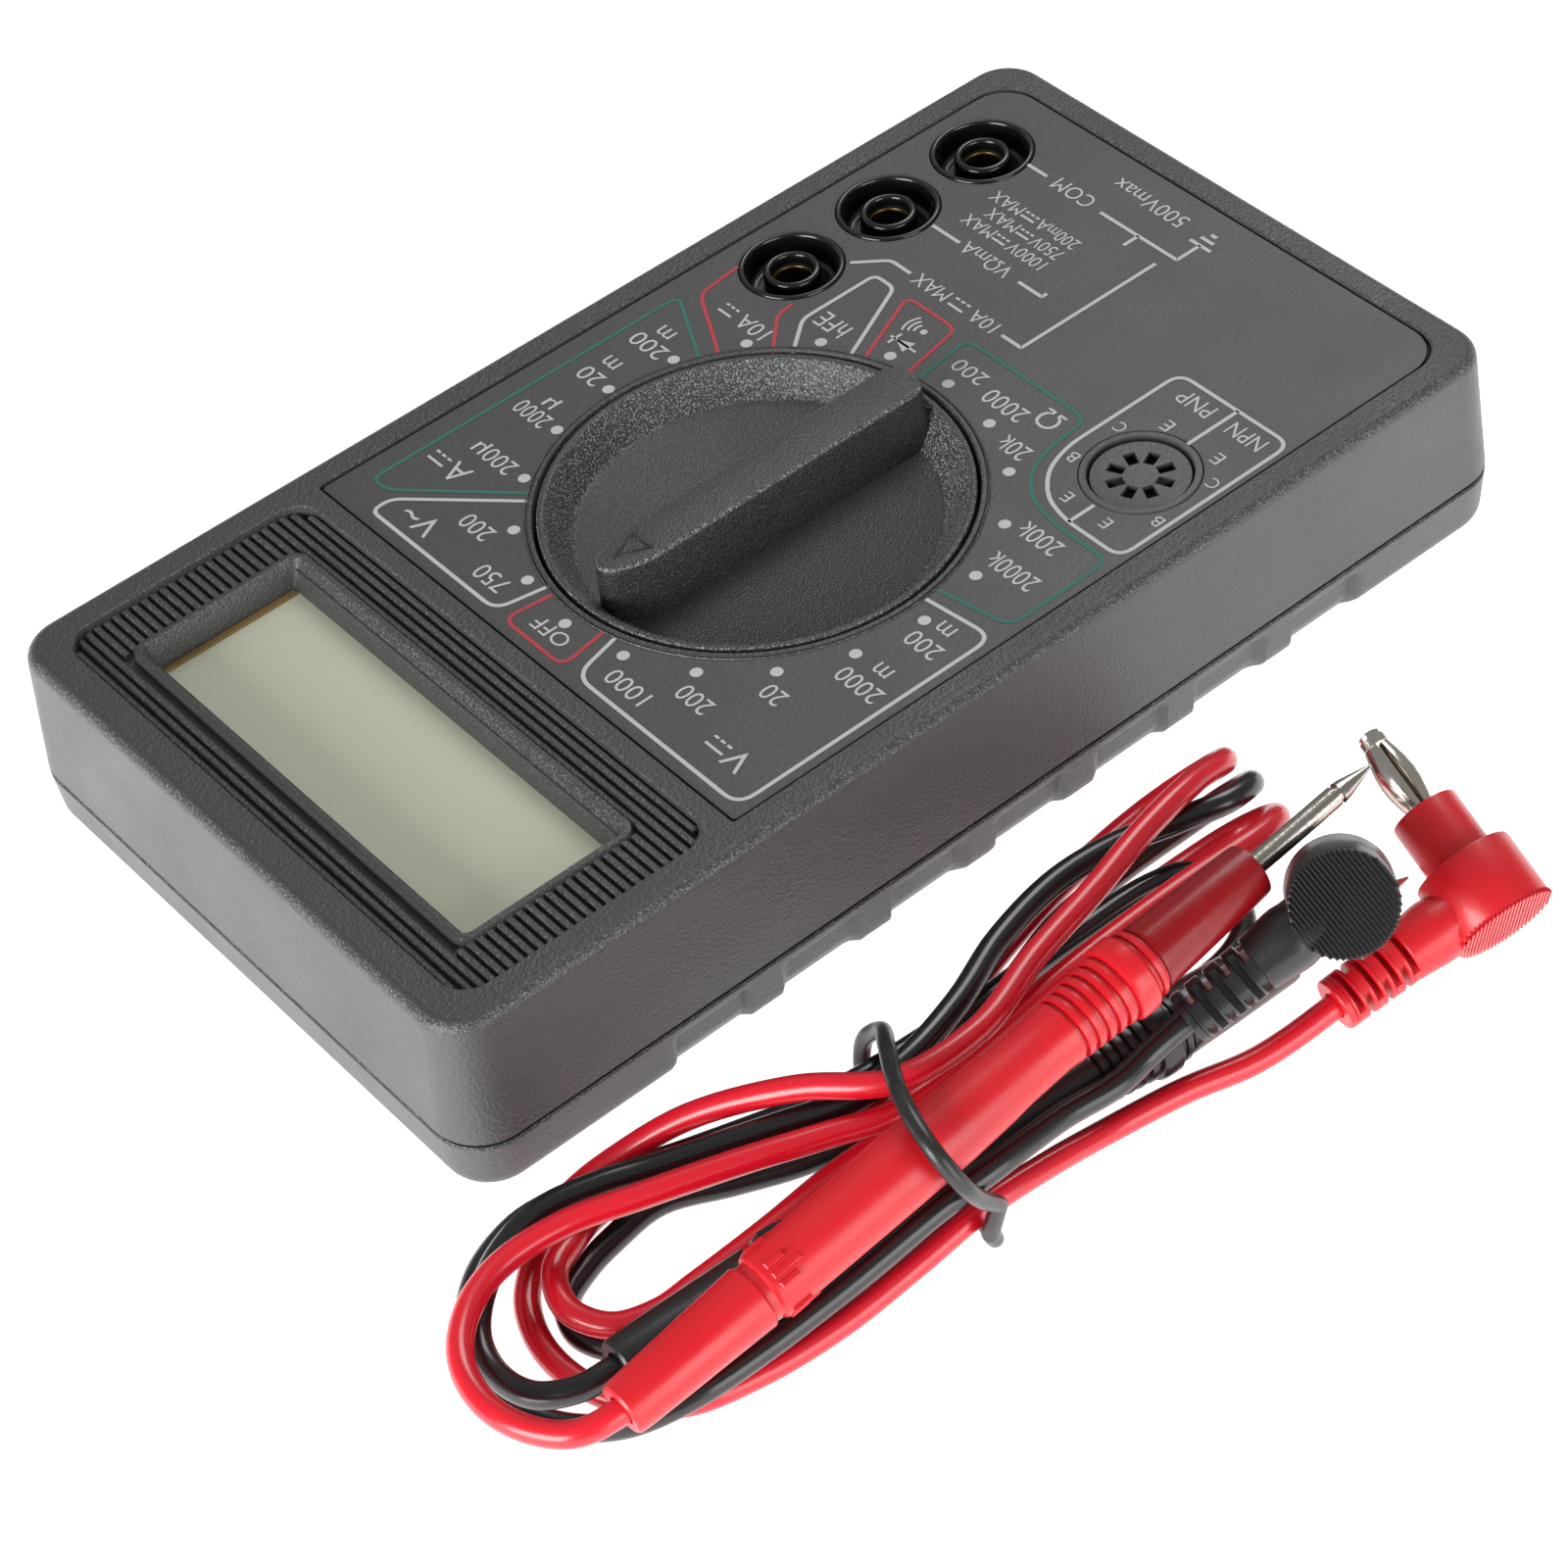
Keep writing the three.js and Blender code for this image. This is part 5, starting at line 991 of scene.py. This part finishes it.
def build_plug(colour, mat):
    """A plug: its ribbed head, sleeve and slotted strain relief in one piece, and its sprung pin."""
    place = PLUGS[colour]
    back = Vector(place["back"])
    matrix = laid(back, place["pin"], Vector(place["relief"]) - back)
    body = Shape().turned(HEAD, 64, matrix)
    low = Matrix.Rotation(math.pi, 4, "X") @ Matrix.Translation((0, 0, -0.5))
    for i in range(RIDGES):
        y = (i - (RIDGES - 1) / 2) * (2 * HEAD_R / (RIDGES + 0.4))
        reach = math.sqrt(max(HEAD_R**2 - y**2, 0.1)) - 0.04
        body.box(-reach, reach, y - 0.12, y + 0.12, 0, 0.5, 0.06, matrix @ low)
    lean = Vector((0, math.cos(RELIEF_LEAN), -math.sin(RELIEF_LEAN)))
    arm = matrix @ laid((0, 0, HEAD_L / 2), lean, (0, 0, 1))
    body.turned(NECK, 48, arm)
    # slots on two sides, then on the other two, with a full ring after each pair
    s, first = NECK_L, True
    while s < RELIEF_L - 0.8:
        r = 2.62 - 0.015 * (s - NECK_L)
        web = clipped(r, WEB_HALF, first)
        body.loft([at(web, s - 0.05), at(web, s + SLOT_L + 0.05)], matrix=arm)
        s += SLOT_L
        ring = [(r - 0.12, s), (r, s + 0.08), (r, s + 0.32), (r - 0.12, s + 0.4)]
        body.loft([at(circle(radius, 0, 0, 32), z) for radius, z in ring], True, True, arm)
        s += RING_STEP
        first = not first
    end = [(0, s), (2.46, s), (2.54, s + 0.1), (2.5, RELIEF_L - 0.12), (2.4, RELIEF_L)]
    end += [(CORD_R + 0.1, RELIEF_L), (CORD_R + 0.1, RELIEF_L - 1)]
    body.turned(end, 48, arm)
    obj = body.object(f"plug_{colour}", mat, "leads", 30)
    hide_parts(f"plug_body_{colour}")
    pin = Shape().turned(PIN_CORE, 12, matrix)
    for k in range(4):
        start, stop = math.pi / 2 * k + LEAF_GAP, math.pi / 2 * (k + 1) - LEAF_GAP
        angles = [start + (stop - start) * i / 8 for i in range(9)]
        loops = []
        for r, along in LEAF:
            path = [(r, a) for a in angles] + [(r - LEAF_T, a) for a in reversed(angles)]
            loops.append([(q * math.cos(a), q * math.sin(a), SLEEVE_END + along) for q, a in path])
        pin.loft(loops, True, True, matrix)
    metal = pin.object(f"pin_{colour}", NICKEL, "leads", 32)
    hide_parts(f"plug_pin_{colour}")
    return [obj, metal]


def build_leads():
    """Both leads, each with its probe and plug, and the tie round them."""
    # the red probe's nose takes the darker red of painted shade
    leads = {"red": (RED_ROUTE, RED, RED_NOSE_PAINTED_SHADE, RED_CORD), "black": (BLACK_ROUTE, BLACK, BLACK, BLACK_CORD)}
    for colour, (route, moulded, nose, jacket) in leads.items():
        probe = build_probe(colour, moulded, nose)
        plug = build_plug(colour, moulded)
        cord, length = strand(f"cord_{colour}", route, CORD_R, jacket)
        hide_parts(f"lead_{colour}")
    tie, _ = strand("tie", TIE_ROUTE, TIE_R, TIE_BLACK, closed=True)
    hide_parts("lead_tie")


build_leads()

# -------- pieces carried over from the CAD part

CARRIED = [
    (HOLDER, ["lcd_holder"]),
    (ZEBRA, ["zebra_strip"]),
    (BOARD, ["circuit_board"]),
    (CAN, ["battery_9v"]),
    (EPOXY, ["battery_snap", "chip_blob"]),
    (FUSE_GLASS, ["fuse"]),
    (BRASS, ["buzzer_disc", "contact_wiper_1", "contact_wiper_2", "contact_wiper_3"]),
    (STEEL, ["shunt_wire", "fuse_clip_1", "fuse_clip_2", "cover_screw_1", "cover_screw_2", "board_screw_1",
             "board_screw_2", "board_screw_3", "detent_ball_1", "detent_ball_2", "detent_spring_1",
             "detent_spring_2"]),
]
for mat, nodes in CARRIED:
    for node in nodes:
        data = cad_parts[node].data
        data.materials.clear()
        data.materials.append(mat)

# -------- floor and light

FLOOR_HALF, FLOOR_Z = 3000, -0.4
SKY = 0.34
# (place in metres, side in metres, watts)
LAMPS = [
    ((-0.15, 0.95, 0.2), 0.6, 13.5),
    ((-0.95, -0.1, 0.25), 0.6, 4.5),
    ((0.35, -0.6, 0.85), 0.5, 4.2),
]


def build_stage():
    """A bright floor, an even sky and three soft lamps."""
    corners = [(x * FLOOR_HALF, y * FLOOR_HALF, FLOOR_Z) for x, y in [(-1, -1), (1, -1), (1, 1), (-1, 1)]]
    obj = Shape().add(corners, [(0, 1, 2, 3)]).object("floor", FLOOR, None)
    world = bpy.data.worlds.new("world")
    bpy.context.scene.world = world
    world.use_nodes = True
    sky = world.node_tree.nodes["Background"].inputs
    sky["Color"].default_value = (1, 1, 1, 1)
    sky["Strength"].default_value = SKY
    for i, (where, size, watts) in enumerate(LAMPS):
        light = bpy.data.lights.new(f"softbox_{i}", "AREA")
        light.size = size
        light.energy = watts
        lamp = placed(f"softbox_{i}", light)
        lamp.location = where
        lamp.rotation_euler = (-Vector(where)).to_track_quat("-Z", "Y").to_euler()
    bpy.context.scene.view_settings.view_transform = "Standard"


build_stage()
